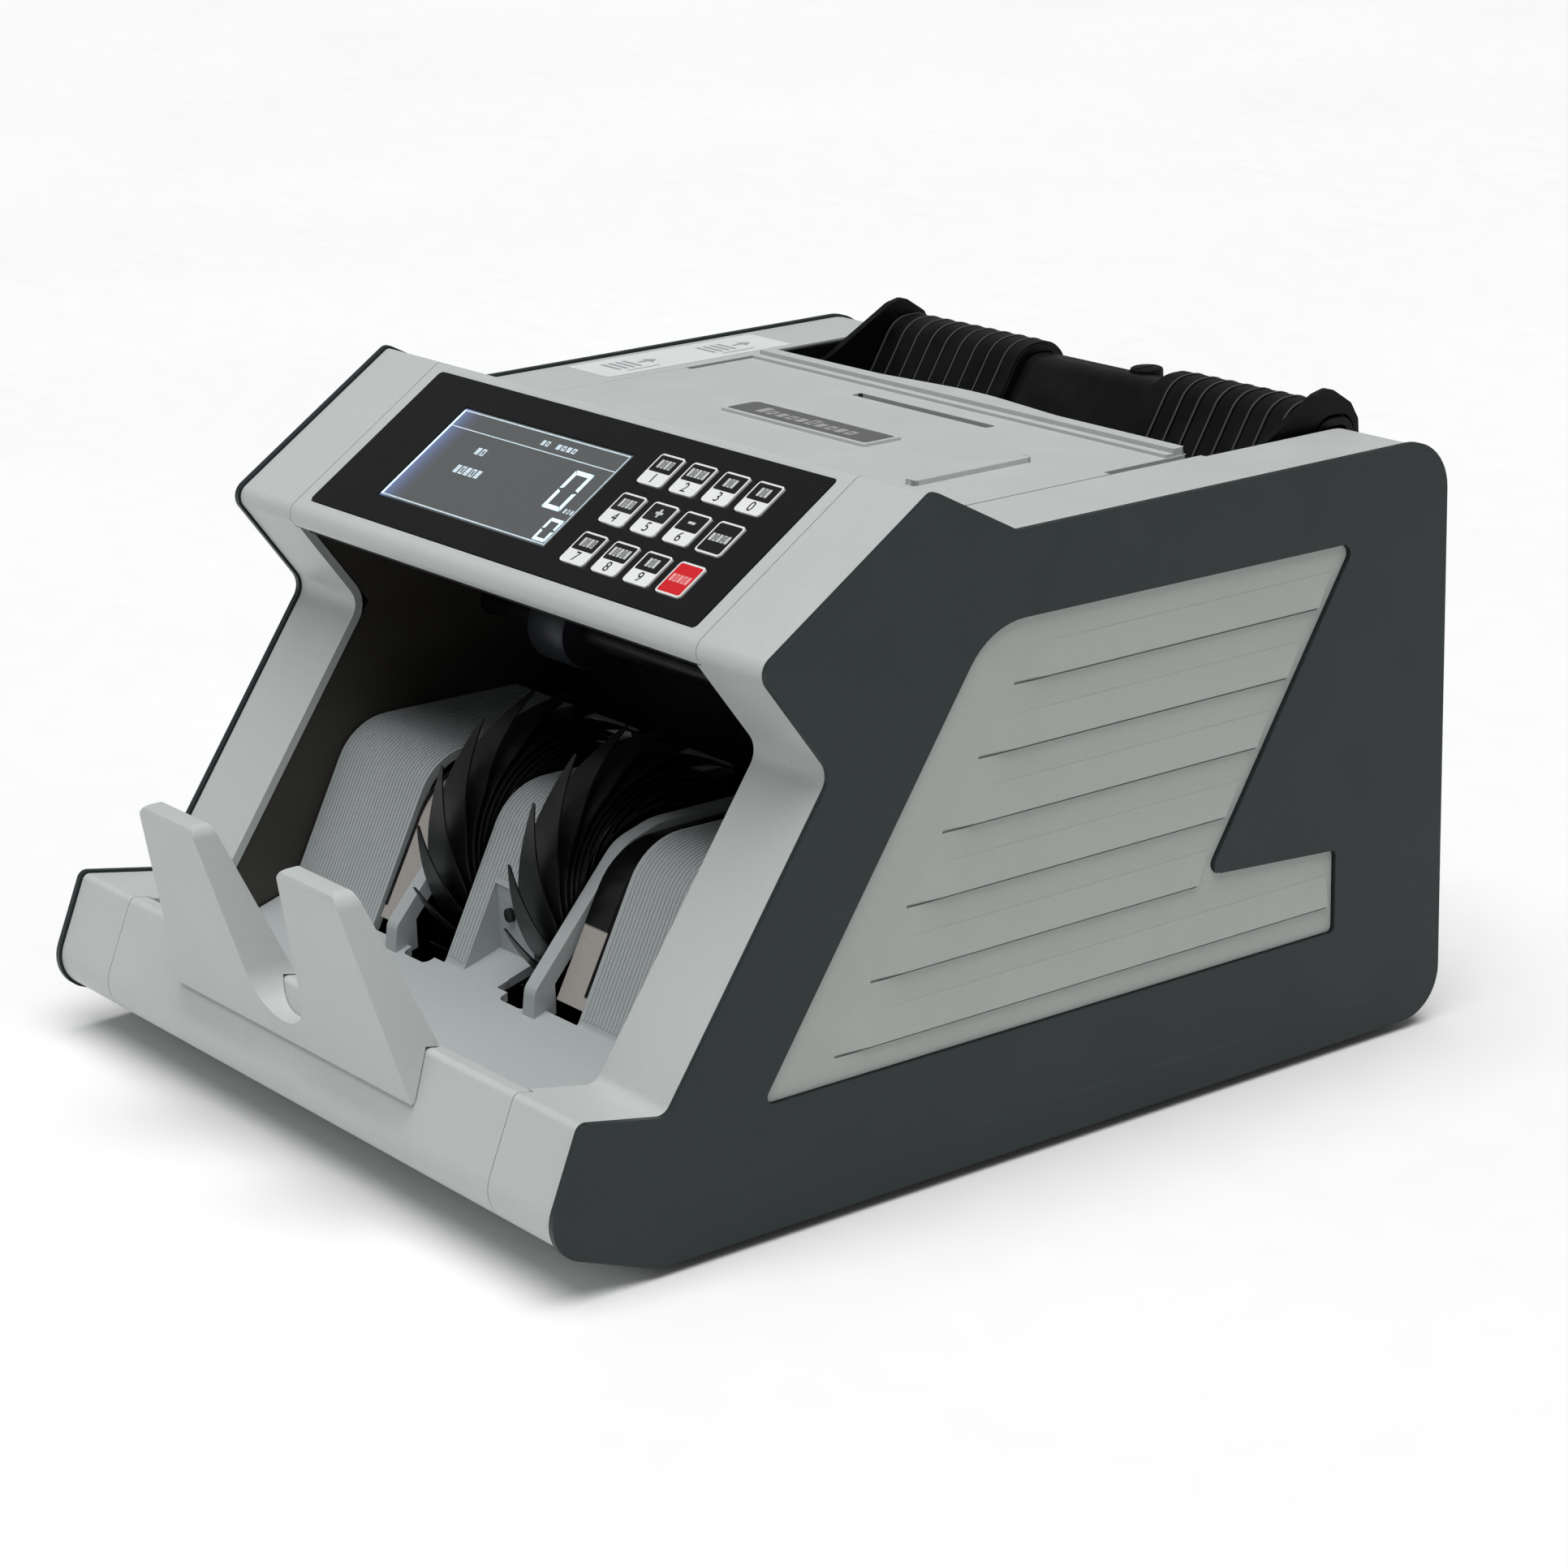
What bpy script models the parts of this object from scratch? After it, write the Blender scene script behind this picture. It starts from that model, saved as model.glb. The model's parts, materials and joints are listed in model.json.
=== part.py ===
"""Banknote counting machine: casing, stacker, feeder, drive and keypad, one object for each piece.

Frame: +X to the operator's right, +Y to the back, +Z up. Lengths in this file are millimetres, and
each mesh is scaled to metres. Places are given from the middle of the casing. The note stopper leans
out past the casing's front, so everything hangs from an empty that moves it back by STOPPER_REACH / 2,
and the world's origin is then on the floor under the middle of the whole machine.
"""

import math

import bmesh
import bpy
from mathutils import Matrix, Vector

MM = 0.001

# Driving dimensions
HALF_WIDTH = 130.0
FRONT = -155.0
BACK = 155.0
FOOT_HEIGHT = 3.5
CASE_BOTTOM = 3.0
TOP = 172.3
COVER_WALL = 1.8
SHEET = 2.5
GAP = 0.3
LIP = 5.5  # how far the control housing reaches down below its front corner
REVEAL = 0.8  # how far the light casing sits inside the edge of the dark side covers
STOPPER_REACH = 6.0  # how far the note stopper leans out past the casing's front
ARC_STEP = math.radians(22.5)
SMALL_RADIUS = 2.6  # corners up to this radius take arcs of half as many steps

BODY_HALF = HALF_WIDTH - COVER_WALL - GAP
MOUTH_HALF = 97.5
FRAME_INNER = 98.0
FRAME_SHEET = 2.0
SHAFT_R = 4.0
SHAFT_HOLE_R = 4.6
SHAFT_SIDES = 16

# Side outline, clockwise seen from the right: (y, z, corner radius)
NOSE_FRONT, NOSE_TOP, NOSE_BACK, NOTCH, BROW, CREST, VALLEY, REAR_TOP, REAR_BASE, NOSE_BASE = range(10)
PROFILE = [
    (FRONT, 16.1, 11.0),
    (-141.5, 47.6, 3.0),
    (-115.7, 42.5, 4.0),
    (-61.5, 119.7, 6.0),
    (-83.4, 150.4, 5.0),
    (-27.3, 187.0, 3.0),
    (-0.1, TOP, 0.0),
    (BACK, TOP, 15.0),
    (BACK, CASE_BOTTOM, 14.0),
    (-120.5, CASE_BOTTOM, 6.0),
]

# Side inlay: (y, z, corner radius), and its raised slats
INLAY = [
    (-86.5, 37.6, 2.0),
    (-9.6, 148.7, 22.0),
    (119.7, 147.6, 2.5),
    (65.3, 64.0, 3.0),
    (113.3, 60.5, 1.5),
    (113.1, 36.8, 1.5),
]
INLAY_DEPTH = 1.4  # how far the inlay's face lies below the cover's
SLAT_ROWS = 6
SLAT_PITCH = 17.45
SLAT_FIRST = 131.8  # height of the topmost slat's lower edge
SLAT_HEIGHT = 9.0
SLAT_LEAN = 0.704  # how far a slat's front end moves back for each millimetre of height

# Nose and note stopper
SEAM = 99.8  # where the nose's front wall and the control housing meet the pillars
NOSE_LIP = 5.2  # how far the nose's front wall turns in at its top
NOSE_WALL_FRONT = -135.4  # front edge of the wall at each side of the floor
STOPPER_FRONT_VIEW = [
    (-61.3, 31.5, 0.0),
    (-51.0, 91.4, 5.0),
    (-22.5, 91.4, 4.0),
    (-12.6, 39.5, 14.0),
    (12.6, 39.5, 14.0),
    (22.5, 91.4, 4.0),
    (51.0, 91.4, 5.0),
    (61.3, 31.5, 0.0),
]
STOPPER_TOP = 91.0
STOPPER_TOE = 14.4  # how far down the nose's front the stopper's toe reaches
STOPPER_BACK = -154.9
STOPPER_HEEL = (-137.4, 47.2)

# Floor and ramps under the notes: (y, z, corner radius)
STACKER_PATH = [
    (-135.7, 42.7, 0.0),
    (-133.5, 25.0, 5.0),
    (-89.8, 38.1, 2.0),
    (-65.5, 85.0, 19.0),
    (-8.0, 84.6, 0.0),
]
RAMP_SLOT_X = (13.5, 52.0)  # one opening in each ramp, that its fin divides
FLOOR_SLOT_X = (18.5, 30.5)
FLOOR_SLOT_FRONT, RAMP_SLOT_FRONT, RAMP_SLOT_BACK = -93.4, -90.2, -11.0
FIN_X = (32.3, 37.6)
FIN = [
    (-94.8, 34.3, 0.0),
    (-93.5, 44.2, 5.0),
    (-62.5, 79.0, 14.0),
    (-50.0, 82.8, 20.0),
    (-8.0, 82.9, 0.0),
    (-8.0, 79.6, 0.0),
    (-49.0, 79.4, 0.0),
    (-60.0, 75.5, 0.0),
    (-87.0, 45.0, 0.0),
    (-87.0, 36.6, 0.0),
]
RECESS_X = (-4.0, 13.5)  # the sensor's recess, at the foot of the ramp between the wheels
RECESS = [(-90.6, 38.0), (-77.5, 41.9), (-77.5, 61.0), (-90.6, 61.0)]
RECESS_SHELL = [(-92.0, 35.3), (-88.6, 37.6), (-75.2, 63.4), (-75.2, 39.7)]
CEILING = [(-76.0, 145.6, 0.0), (-8.0, 145.6, 8.0), (4.0, 126.0, 6.0), (4.0, 79.5, 0.0)]
NOTE_GAP_Z = (108.0, 116.0)  # the opening that notes come out of, behind the exit roller

# Back: mains inlet, rocker switch and vents
INLET = ((-95.0, 30.0), (-67.0, 52.0))
SWITCH_X = (-52.0, -38.0)
SWITCH_Y, SWITCH_Z = 148.0, 41.0
SWITCH_WINDOW = 17.0
VENT_COUNT = 9
VENT_FIRST, VENT_PITCH, VENT_WIDTH = 20.0, 9.0, 4.0
VENT_Z = (60.0, 100.0)
BASE_LIP = 24.0
FOOT_R = 9.0
FOOT_X = 108.0
FOOT_Y = {"front": -104.0, "rear": 126.0}

# Control panel, measured on the sloping face: x across, v up the face from its front edge
PANEL_HALF = 94.0
PANEL_LOW, PANEL_HIGH = 7.5, 63.0
SCREEN_X = (-68.5, 15.4)
SCREEN_V = (16.2, 53.3)
KEY_COLUMNS = [31.1 + 14.6 * column for column in range(4)]
KEY_ROWS = [50.4 - 15.45 * row for row in range(3)]
KEY_NAMES = [
    ["1", "2", "3", "0"],
    ["4", "5", "6", "mode"],
    ["7", "8", "9", "start"],
]
KEY_WIDTH, KEY_HEIGHT = 10.9, 11.2
KEY_RISE = 0.5

# Drive: (y, z) of each axis
STACKER_AXIS = (-47.0, 61.0)
EXIT_AXIS = (-14.0, 112.0)
FEED_AXIS = (66.0, 102.0)
PICKUP_AXIS = (105.0, 112.5)
STACKER_MOTOR_AXIS = (24.0, 34.0)
FEED_MOTOR_AXIS = (104.0, 44.0)
WHEEL_R = 46.0
WHEEL_X = (14.5, 31.3)
WHEEL_DISC_R = 27.0  # the blades leave the wheel's middle at this radius
BLADE_CLIMB, BLADE_FLARE = 10.0, 9.0  # how far a blade rises evenly, and how far its tip flares out
BLADE_CURVE = 6  # the power that keeps the flare near the tip
BLADE_TAPER_R = 36.1  # outside this radius each blade narrows towards its tip
WHEEL_BLADES = 16
BLADE_SWEEP = math.radians(168.75)
BLADE_PHASE = math.radians(7.75)
BLADE_STEPS = 15
BLADE_WALL = 1.0
STACKER_PULLEY_R, FEED_PULLEY_R, MOTOR_PULLEY_R = 16.0, 14.0, 8.0
PULLEY_X = (104.0, 112.0)
MOTOR_BOSS_R = 7.0
MOTOR_END = FRAME_INNER + FRAME_SHEET + 1.0

# Hopper
HOPPER_HALF = 100.0
LID_HALF = 97.6
RIDGE_END, RIDGE_WIDTH, RIDGE_RISE = 72.0, 4.6, 1.4  # the ridge on the lid's right
RIDGE_FRONT, RIDGE_BACK = 12.5, 54.0
LID_FRONT, LID_BACK = 8.6, 90.0
TRAY_FLOOR = 128.5
TRAY_REAR_TOP = 158.0
TRAY_WALL = 2.0
ROLLER_SLOT_X = (17.0, 43.0)
BACKREST = [(114.0, 134.5, 0.0), (139.2, 173.6, 7.0), (150.4, 173.6, 5.0), (151.0, 160.5, 0.0)]
SLEEVE_X = (29.8, 95.0)
SLEEVE_RIBS = 9
RIB_PITCH, RIB_WIDTH, RIB_RISE = 7.0, 1.4, 0.6
GUIDE_X = (94.0, 96.7)
EAR = [
    (103.0, 136.0, 2.0),
    (105.0, 165.0, 3.0),
    (113.0, 168.0, 3.0),
    (137.0, 181.0, 4.0),
    (142.5, 182.2, 4.0),
    (150.3, 177.0, 2.0),
    (153.2, 172.0, 2.0),
    (153.6, 165.6, 0.0),
]
KNOB_AXIS = (12.0, 149.4)
KNOB_R, KNOB_TOP = 5.0, 174.6


# ---------------------------------------------------------------- outlines

def left_of(direction):
    return Vector((-direction.y, direction.x))


def meet(point_a, direction_a, point_b, direction_b):
    """Where two lines in a plane cross."""
    across = direction_a.x * direction_b.y - direction_a.y * direction_b.x
    between = point_b - point_a
    along = (between.x * direction_b.y - between.y * direction_b.x) / across
    return point_a + direction_a * along


def inset(corners, distance, closed=True):
    """Moves each edge to its right by the distance; a corner's radius follows its side."""
    points = [Vector(corner[:2]) for corner in corners]
    count = len(points)
    edges = [(points[(i + 1) % count] - points[i]).normalized() for i in range(count)]
    moved = []
    for i, corner in enumerate(corners):
        before, after = edges[i - 1], edges[i]
        if not closed and i == 0:
            before = after
        if not closed and i == count - 1:
            after = before
        turn = before.x * after.y - before.y * after.x
        start = points[i] - left_of(before) * distance
        if abs(turn) < 1e-6:
            spot = start
        else:
            spot = meet(start, before, points[i] - left_of(after) * distance, after)
        radius = corner[2] + distance * (1 if turn > 0 else -1) if corner[2] else 0.0
        moved.append((spot.x, spot.y, max(radius, 0.4) if corner[2] else 0.0))
    return moved


def rounded(corners, closed=True):
    """The outline's points, with an arc of the given radius at each corner."""
    points = []
    count = len(corners)
    for i, (u, v, radius) in enumerate(corners):
        here = Vector((u, v))
        if not radius or (not closed and i in (0, count - 1)):
            points.append(here)
            continue
        before = (here - Vector(corners[i - 1][:2])).normalized()
        after = (Vector(corners[(i + 1) % count][:2]) - here).normalized()
        turn = math.atan2(before.x * after.y - before.y * after.x, before.dot(after))
        start = here - before * radius * math.tan(abs(turn) / 2)
        centre = start + left_of(before) * math.copysign(radius, turn)
        step_angle = ARC_STEP if radius > SMALL_RADIUS else 2 * ARC_STEP
        steps = max(1, math.ceil(abs(turn) / step_angle - 0.1))
        for step in range(steps + 1):
            spoke = start - centre
            spoke.rotate(Matrix.Rotation(turn * step / steps, 2))
            points.append(centre + spoke)
    return points


def sheet(path, thickness):
    """Closed outline of a bent sheet: the path, and the path moved to its right."""
    inner = inset(path, thickness, closed=False)
    return rounded(path, closed=False) + rounded(inner, closed=False)[::-1]


def circle(centre, radius, sides=SHAFT_SIDES):
    turns = [2 * math.pi * (i + 0.5) / sides for i in range(sides)]
    return [Vector(centre) + Vector((math.cos(a), math.sin(a))) * radius for a in turns]


def rectangle(low, high, radius=0.0):
    corners = [(low[0], low[1]), (high[0], low[1]), (high[0], high[1]), (low[0], high[1])]
    return rounded([(u, v, radius) for u, v in corners])


def belt_line(centre_a, radius_a, centre_b, radius_b, sides=8):
    """A line pulled tight round two circles."""
    a, b = Vector(centre_a), Vector(centre_b)
    run = b - a
    lean = math.acos((radius_a - radius_b) / run.length)
    heading = math.atan2(run.y, run.x)
    points = []
    for centre, radius, first, last in (
        (b, radius_b, -lean, lean),
        (a, radius_a, lean, 2 * math.pi - lean),
    ):
        for step in range(sides + 1):
            angle = heading + first + (last - first) * step / sides
            points.append(centre + Vector((math.cos(angle), math.sin(angle))) * radius)
    return points


# ---------------------------------------------------------------- solids

# Where an outline's own axes (u, v) and its thickness point, for each direction it is drawn out in
FRAMES = {
    "X": Matrix(((0, 0, 1), (1, 0, 0), (0, 1, 0))).to_4x4(),
    "Y": Matrix(((1, 0, 0), (0, 0, -1), (0, 1, 0))).to_4x4(),
    "Z": Matrix.Identity(4),
}


def face_frame():
    """The control panel's frame: u across, v up the slope, thickness out of the face."""
    low, high = Vector(PROFILE[BROW][:2]), Vector(PROFILE[CREST][:2])
    up = (high - low).normalized()
    out = left_of(up)
    origin = low - out * REVEAL
    rotation = Matrix(((1, 0, 0), (0, up.x, out.x), (0, up.y, out.y))).to_4x4()
    return Matrix.Translation(Vector((0, origin.x, origin.y)) * MM) @ rotation


def group(name, hidden=False):
    collection = bpy.data.collections.new(name)
    bpy.context.scene.collection.children.link(collection)
    collection.hide_render = hidden
    return collection


def add_object(name, mesh, collection):
    obj = bpy.data.objects.new(name, mesh)
    collection.objects.link(obj)
    return obj


def slab(name, outline, low, high, frame, holes=(), collection=None):
    """A flat outline with holes, drawn out from low to high along its frame's third axis."""
    curve = bpy.data.curves.new(name, "CURVE")
    curve.dimensions = "2D"
    curve.fill_mode = "BOTH"
    curve.extrude = (high - low) / 2 * MM
    for points in [outline, *holes]:
        spline = curve.splines.new("POLY")
        spline.points.add(len(points) - 1)
        for point, spot in zip(spline.points, points):
            point.co = (spot[0] * MM, spot[1] * MM, 0, 1)
        spline.use_cyclic_u = True
    drawn = bpy.data.objects.new(name + "_outline", curve)
    bpy.context.scene.collection.objects.link(drawn)
    turned = FRAMES[frame] if isinstance(frame, str) else frame
    middle = (low + high) / 2 * MM * (-1 if frame == "Y" else 1)
    drawn.matrix_world = turned @ Matrix.Translation((0, 0, middle))
    bpy.context.view_layer.update()
    evaluated = drawn.evaluated_get(bpy.context.evaluated_depsgraph_get())
    mesh = bpy.data.meshes.new_from_object(evaluated)
    mesh.name = name
    weld(mesh)
    obj = add_object(name, mesh, collection or PARTS)
    obj.matrix_world = drawn.matrix_world.copy()
    bpy.data.objects.remove(drawn)
    bpy.data.curves.remove(curve)
    return obj


def weld(mesh):
    shape = bmesh.new()
    shape.from_mesh(mesh)
    bmesh.ops.remove_doubles(shape, verts=shape.verts, dist=1e-6)
    bmesh.ops.recalc_face_normals(shape, faces=shape.faces)
    shape.to_mesh(mesh)
    shape.free()


def block(name, low, high, collection=None):
    """A box between two corners."""
    mesh = bpy.data.meshes.new(name)
    shape = bmesh.new()
    bmesh.ops.create_cube(shape, size=1.0)
    size = Vector(high) - Vector(low)
    bmesh.ops.scale(shape, vec=size * MM, verts=shape.verts)
    shape.to_mesh(mesh)
    shape.free()
    obj = add_object(name, mesh, collection or PARTS)
    obj.location = (Vector(low) + Vector(high)) / 2 * MM
    return obj


def turned_piece(name, profile, centre, axis="X", sides=SHAFT_SIDES, closed=False):
    """A turned shape: (radius, place along the axis) down its outer side, from high to low."""
    mesh = bpy.data.meshes.new(name)
    shape = bmesh.new()
    points = [shape.verts.new((radius * MM, 0, along * MM)) for radius, along in profile]
    for first, second in zip(points, points[1:]):
        shape.edges.new((first, second))
    if closed:
        shape.edges.new((points[-1], points[0]))
    shape.to_mesh(mesh)
    shape.free()
    obj = add_object(name, mesh, PARTS)
    screw = obj.modifiers.new("Turn", "SCREW")
    screw.steps = sides
    screw.render_steps = sides
    screw.use_merge_vertices = True
    screw.merge_threshold = 1e-6
    screw.use_smooth_shade = True
    if axis == "X":
        obj.matrix_world = Matrix.Translation(Vector(centre) * MM) @ Matrix.Rotation(math.pi / 2, 4, "Y")
    else:
        obj.location = Vector(centre) * MM
    return obj


def cut(obj, *cutters, operation="DIFFERENCE"):
    """Cuts each cutter out of the object, or joins or keeps it, with a Boolean."""
    for cutter in cutters:
        boolean = obj.modifiers.new(cutter.name, "BOOLEAN")
        boolean.operation = operation
        boolean.object = cutter
        cutter.hide_render = True
        cutter.display_type = "WIRE"
    return obj


def soften(obj, width, segments=1, angle=40.0):
    """Rounds the edges sharper than the angle."""
    bevel = obj.modifiers.new("Soft edges", "BEVEL")
    bevel.width = width * MM
    bevel.segments = segments
    bevel.limit_method = "ANGLE"
    bevel.angle_limit = math.radians(angle)
    bevel.use_clamp_overlap = True
    return obj


def origin_at(obj, point):
    """Puts the object's origin on a point of its joint's axis, its shape staying in place."""
    target = Matrix.Translation(Vector(point) * MM)
    obj.data.transform(target.inverted() @ obj.matrix_world)
    obj.matrix_world = target
    return obj


def side_name(side):
    return "right" if side > 0 else "left"


def spread(side, inner, outer):
    """The low and high x of something at the given distances from the middle, on one side."""
    return (inner, outer) if side > 0 else (-outer, -inner)


# ---------------------------------------------------------------- materials

def material(name, colour, roughness, metallic=0.0):
    made = bpy.data.materials.new(name)
    made.use_nodes = True
    shader = made.node_tree.nodes["Principled BSDF"]
    shader.inputs["Base Color"].default_value = (*colour, 1.0)
    shader.inputs["Roughness"].default_value = roughness
    shader.inputs["Metallic"].default_value = metallic
    return made


COLOURS = {
    "light_casing": ((0.58, 0.61, 0.58), 0.45, 0.0),
    "dark_casing": ((0.04, 0.052, 0.052), 0.5, 0.0),
    "inlay": ((0.42, 0.45, 0.43), 0.5, 0.0),
    "black_plastic": ((0.015, 0.015, 0.016), 0.4, 0.0),
    "panel_film": ((0.012, 0.012, 0.013), 0.15, 0.0),
    "screen_glass": ((0.07, 0.075, 0.075), 0.12, 0.0),
    "white_key": ((0.8, 0.8, 0.78), 0.35, 0.0),
    "red_key": ((0.62, 0.03, 0.035), 0.35, 0.0),
    "black_key": ((0.02, 0.02, 0.021), 0.3, 0.0),
    "frame_steel": ((0.16, 0.15, 0.14), 0.45, 0.6),
    "shaft_steel": ((0.6, 0.61, 0.62), 0.25, 1.0),
    "rubber": ((0.02, 0.02, 0.02), 0.8, 0.0),
    "board": ((0.02, 0.16, 0.07), 0.5, 0.0),
    "motor_steel": ((0.4, 0.41, 0.42), 0.35, 1.0),
}


def paint(obj, colour_name):
    found = bpy.data.materials.get(colour_name)
    made = found or material(colour_name, *COLOURS[colour_name])
    obj.data.materials.clear()
    obj.data.materials.append(made)
    return obj


# ---------------------------------------------------------------- casing

def make_side_cover(side):
    hole = rounded(inset(INLAY, -GAP))
    low, high = spread(side, HALF_WIDTH - COVER_WALL, HALF_WIDTH)
    cover = slab(f"{side_name(side)}_side_cover", rounded(PROFILE), low, high, "X", holes=[hole])
    return paint(soften(cover, 0.7), "dark_casing")


def inlay_rear(z):
    """Where a slat at this height ends, short of the inlay's rear edge."""
    top, notch, arm = INLAY[2], INLAY[3], INLAY[4]
    if z < arm[1]:
        return arm[0] - 2.0
    share = (max(z, notch[1]) - notch[1]) / (top[1] - notch[1])
    return notch[0] + (top[0] - notch[0]) * share - 3.5


def make_side_inlay(side):
    """The light inlay: a plug in the cover's hole, a flange behind it, and six raised slats."""
    face = HALF_WIDTH - INLAY_DEPTH
    low, high = spread(side, BODY_HALF - 0.6, face)
    inlay = slab(f"{side_name(side)}_side_inlay", rounded(INLAY), low, high, "X")
    flange_low, flange_high = spread(side, BODY_HALF - 2.0, BODY_HALF)
    flange = slab("flange", rounded(inset(INLAY, -3.0)), flange_low, flange_high, "X", collection=CUTTERS)
    cut(inlay, flange, operation="UNION")
    slat_low, slat_high = spread(side, face - 0.5, face + 0.7)
    for row in range(SLAT_ROWS):
        ledge = SLAT_FIRST - SLAT_PITCH * row
        top = ledge + SLAT_HEIGHT
        front = -0.4 - (SLAT_FIRST - ledge) * SLAT_LEAN
        raised = [
            (front, ledge),
            (front + SLAT_HEIGHT * SLAT_LEAN, top),
            (inlay_rear(top), top),
            (inlay_rear(ledge), ledge),
        ]
        slat = slab("slat", raised, slat_low, slat_high, "X", collection=CUTTERS)
        cut(inlay, slat, operation="UNION")
    return paint(inlay, "inlay")


def body_corner(index, radius=None):
    u, v, own = inset(PROFILE, REVEAL)[index]
    return (u, v, own if radius is None else radius)


def along(start, end, distance):
    """The point at a distance from the start of a line, towards its end."""
    first, last = Vector(start[:2]), Vector(end[:2])
    spot = first + (last - first).normalized() * distance
    return (spot.x, spot.y, 0.0)


def make_control_housing():
    """The sloping control face between the pillars, its lip and back slope, and the panel's window."""
    brow = body_corner(BROW)
    path = [
        along(brow, body_corner(NOTCH), LIP),
        brow,
        body_corner(CREST),
        along(body_corner(VALLEY), body_corner(CREST), 0.4),
    ]
    half = SEAM - GAP
    housing = slab("control_housing", sheet(path, SHEET), -half, half, "X")
    window = rectangle((-PANEL_HALF - GAP, PANEL_LOW - GAP), (PANEL_HALF + GAP, PANEL_HIGH + GAP))
    cut(housing, slab("panel_window", window, -5.0, 2.0, FACE, collection=CUTTERS))
    return paint(housing, "light_casing")


def make_pillar(side):
    """Front pillar that goes on up beside the control face, with its end of the nose."""
    corners = [body_corner(i) for i in (NOSE_BASE, NOSE_FRONT, NOSE_TOP, NOSE_BACK, NOTCH, BROW, CREST)]
    corners[0] = (corners[0][0] + 1.5, corners[0][1], 0.0)
    path = [*corners, along(body_corner(VALLEY), body_corner(CREST), 0.4)]
    low, high = spread(side, MOUTH_HALF, BODY_HALF)
    pillar = slab(f"{side_name(side)}_pillar", sheet(path, SHEET), low, high, "X")
    lip_end = Vector(along(body_corner(BROW), body_corner(NOTCH), LIP + 0.5)[:2])
    outwards = left_of(Vector(body_corner(BROW)[:2]) - Vector(body_corner(NOTCH)[:2])).normalized()
    front, back = lip_end + outwards * 8.0, lip_end - outwards * 8.0
    housing_seat = [front, back, (20.0, back.y), (20.0, 200.0), (front.x, 200.0)]
    nose_seat = [
        (FRONT - 5.0, 0.0),
        (-105.0, 0.0),
        (-105.0, 17.0),
        (NOSE_WALL_FRONT, 17.0),
        (NOSE_WALL_FRONT, 60.0),
        (FRONT - 5.0, 60.0),
    ]
    low, high = spread(side, MOUTH_HALF - 2.0, SEAM)
    for name, seat in (("housing_seat", housing_seat), ("nose_seat", nose_seat)):
        cut(pillar, slab(name, seat, low, high, "X", collection=CUTTERS))
    low, high = spread(side, MOUTH_HALF + 0.2, MOUTH_HALF + 2.0)
    wall = [(-135.0, 18.0), (-135.0, 44.0), (-117.0, 40.6), (-114.6, 41.2), (-114.6, 18.0)]
    cut(pillar, slab("nose_wall", wall, low, high, "X", collection=CUTTERS), operation="UNION")
    return paint(pillar, "light_casing")


def make_front_cover():
    """The nose's front wall between the pillars, turned in at its top."""
    corners = [body_corner(i) for i in (NOSE_BASE, NOSE_FRONT, NOSE_TOP, NOSE_BACK)]
    corners[0] = (corners[0][0] + 1.5, corners[0][1], 0.0)
    corners[3] = along(corners[2], corners[3], NOSE_LIP)
    half = SEAM - GAP
    return paint(slab("front_cover", sheet(corners, SHEET), -half, half, "X"), "light_casing")


def make_note_stopper():
    """The two-pronged stopper astride the nose: its front view, kept where its side view covers."""
    stopper = slab("note_stopper", rounded(STOPPER_FRONT_VIEW), -165.0, -128.0, "Y")
    corners = [(*body_corner(i)[:2], 0.0) for i in (NOSE_BACK, NOSE_TOP, NOSE_FRONT)]
    seat = [Vector(corner[:2]) for corner in inset(corners, GAP, closed=False)]
    toe = seat[1] + (seat[2] - seat[1]).normalized() * STOPPER_TOE
    heel = seat[1] + (seat[0] - seat[1]).normalized() * (STOPPER_HEEL[0] - seat[1].x)
    side_view = [
        (toe.x, toe.y, 0.0),
        (toe.x - 1.2, toe.y - 0.4, 0.0),
        (FRONT - STOPPER_REACH, STOPPER_TOP - 2.6, 0.0),
        (FRONT - STOPPER_REACH + 0.4, STOPPER_TOP - 1.0, 0.0),
        (FRONT - STOPPER_REACH + 1.8, STOPPER_TOP, 0.0),
        (STOPPER_BACK, STOPPER_TOP, 2.0),
        (*STOPPER_HEEL, 0.0),
        (heel.x, heel.y, 0.0),
        (seat[1].x, seat[1].y, 0.0),
    ]
    keep = slab("stopper_side_view", rounded(side_view), -70.0, 70.0, "X", collection=CUTTERS)
    cut(stopper, keep, operation="INTERSECT")
    return paint(soften(stopper, 0.8), "light_casing")


def make_stacker_plate():
    """Floor and ramps under the notes, with openings for the wheels, fins and a sensor's recess."""
    half = MOUTH_HALF - GAP
    plate = slab("stacker_plate", sheet(STACKER_PATH, SHEET), -half, half, "X")
    left, right = RECESS_X
    shell = slab("recess_shell", RECESS_SHELL, left - 2.0, right - 0.3, "X", collection=CUTTERS)
    cut(plate, shell, operation="UNION")
    cut(plate, slab("recess", RECESS, left, right + 2.0, "X", collection=CUTTERS))
    for side in (-1, 1):
        low, high = spread(side, *RAMP_SLOT_X)
        ramp_slot = block("ramp_slot", (low, RAMP_SLOT_FRONT, 20), (high, RAMP_SLOT_BACK, 110), CUTTERS)
        low, high = spread(side, *FLOOR_SLOT_X)
        floor_slot = block("floor_slot", (low, FLOOR_SLOT_FRONT, 20), (high, -80, 70), CUTTERS)
        low, high = spread(side, RAMP_SLOT_X[0], FIN_X[0])
        rear_slot = block("rear_slot", (low, -40, 60), (high, 0, 110), CUTTERS)
        cut(plate, ramp_slot, floor_slot, rear_slot)
        low, high = spread(side, *FIN_X)
        fin = slab("fin", rounded(FIN), low, high, "X", collection=CUTTERS)
        cut(plate, fin, operation="UNION")
    return paint(plate, "light_casing")


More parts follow.
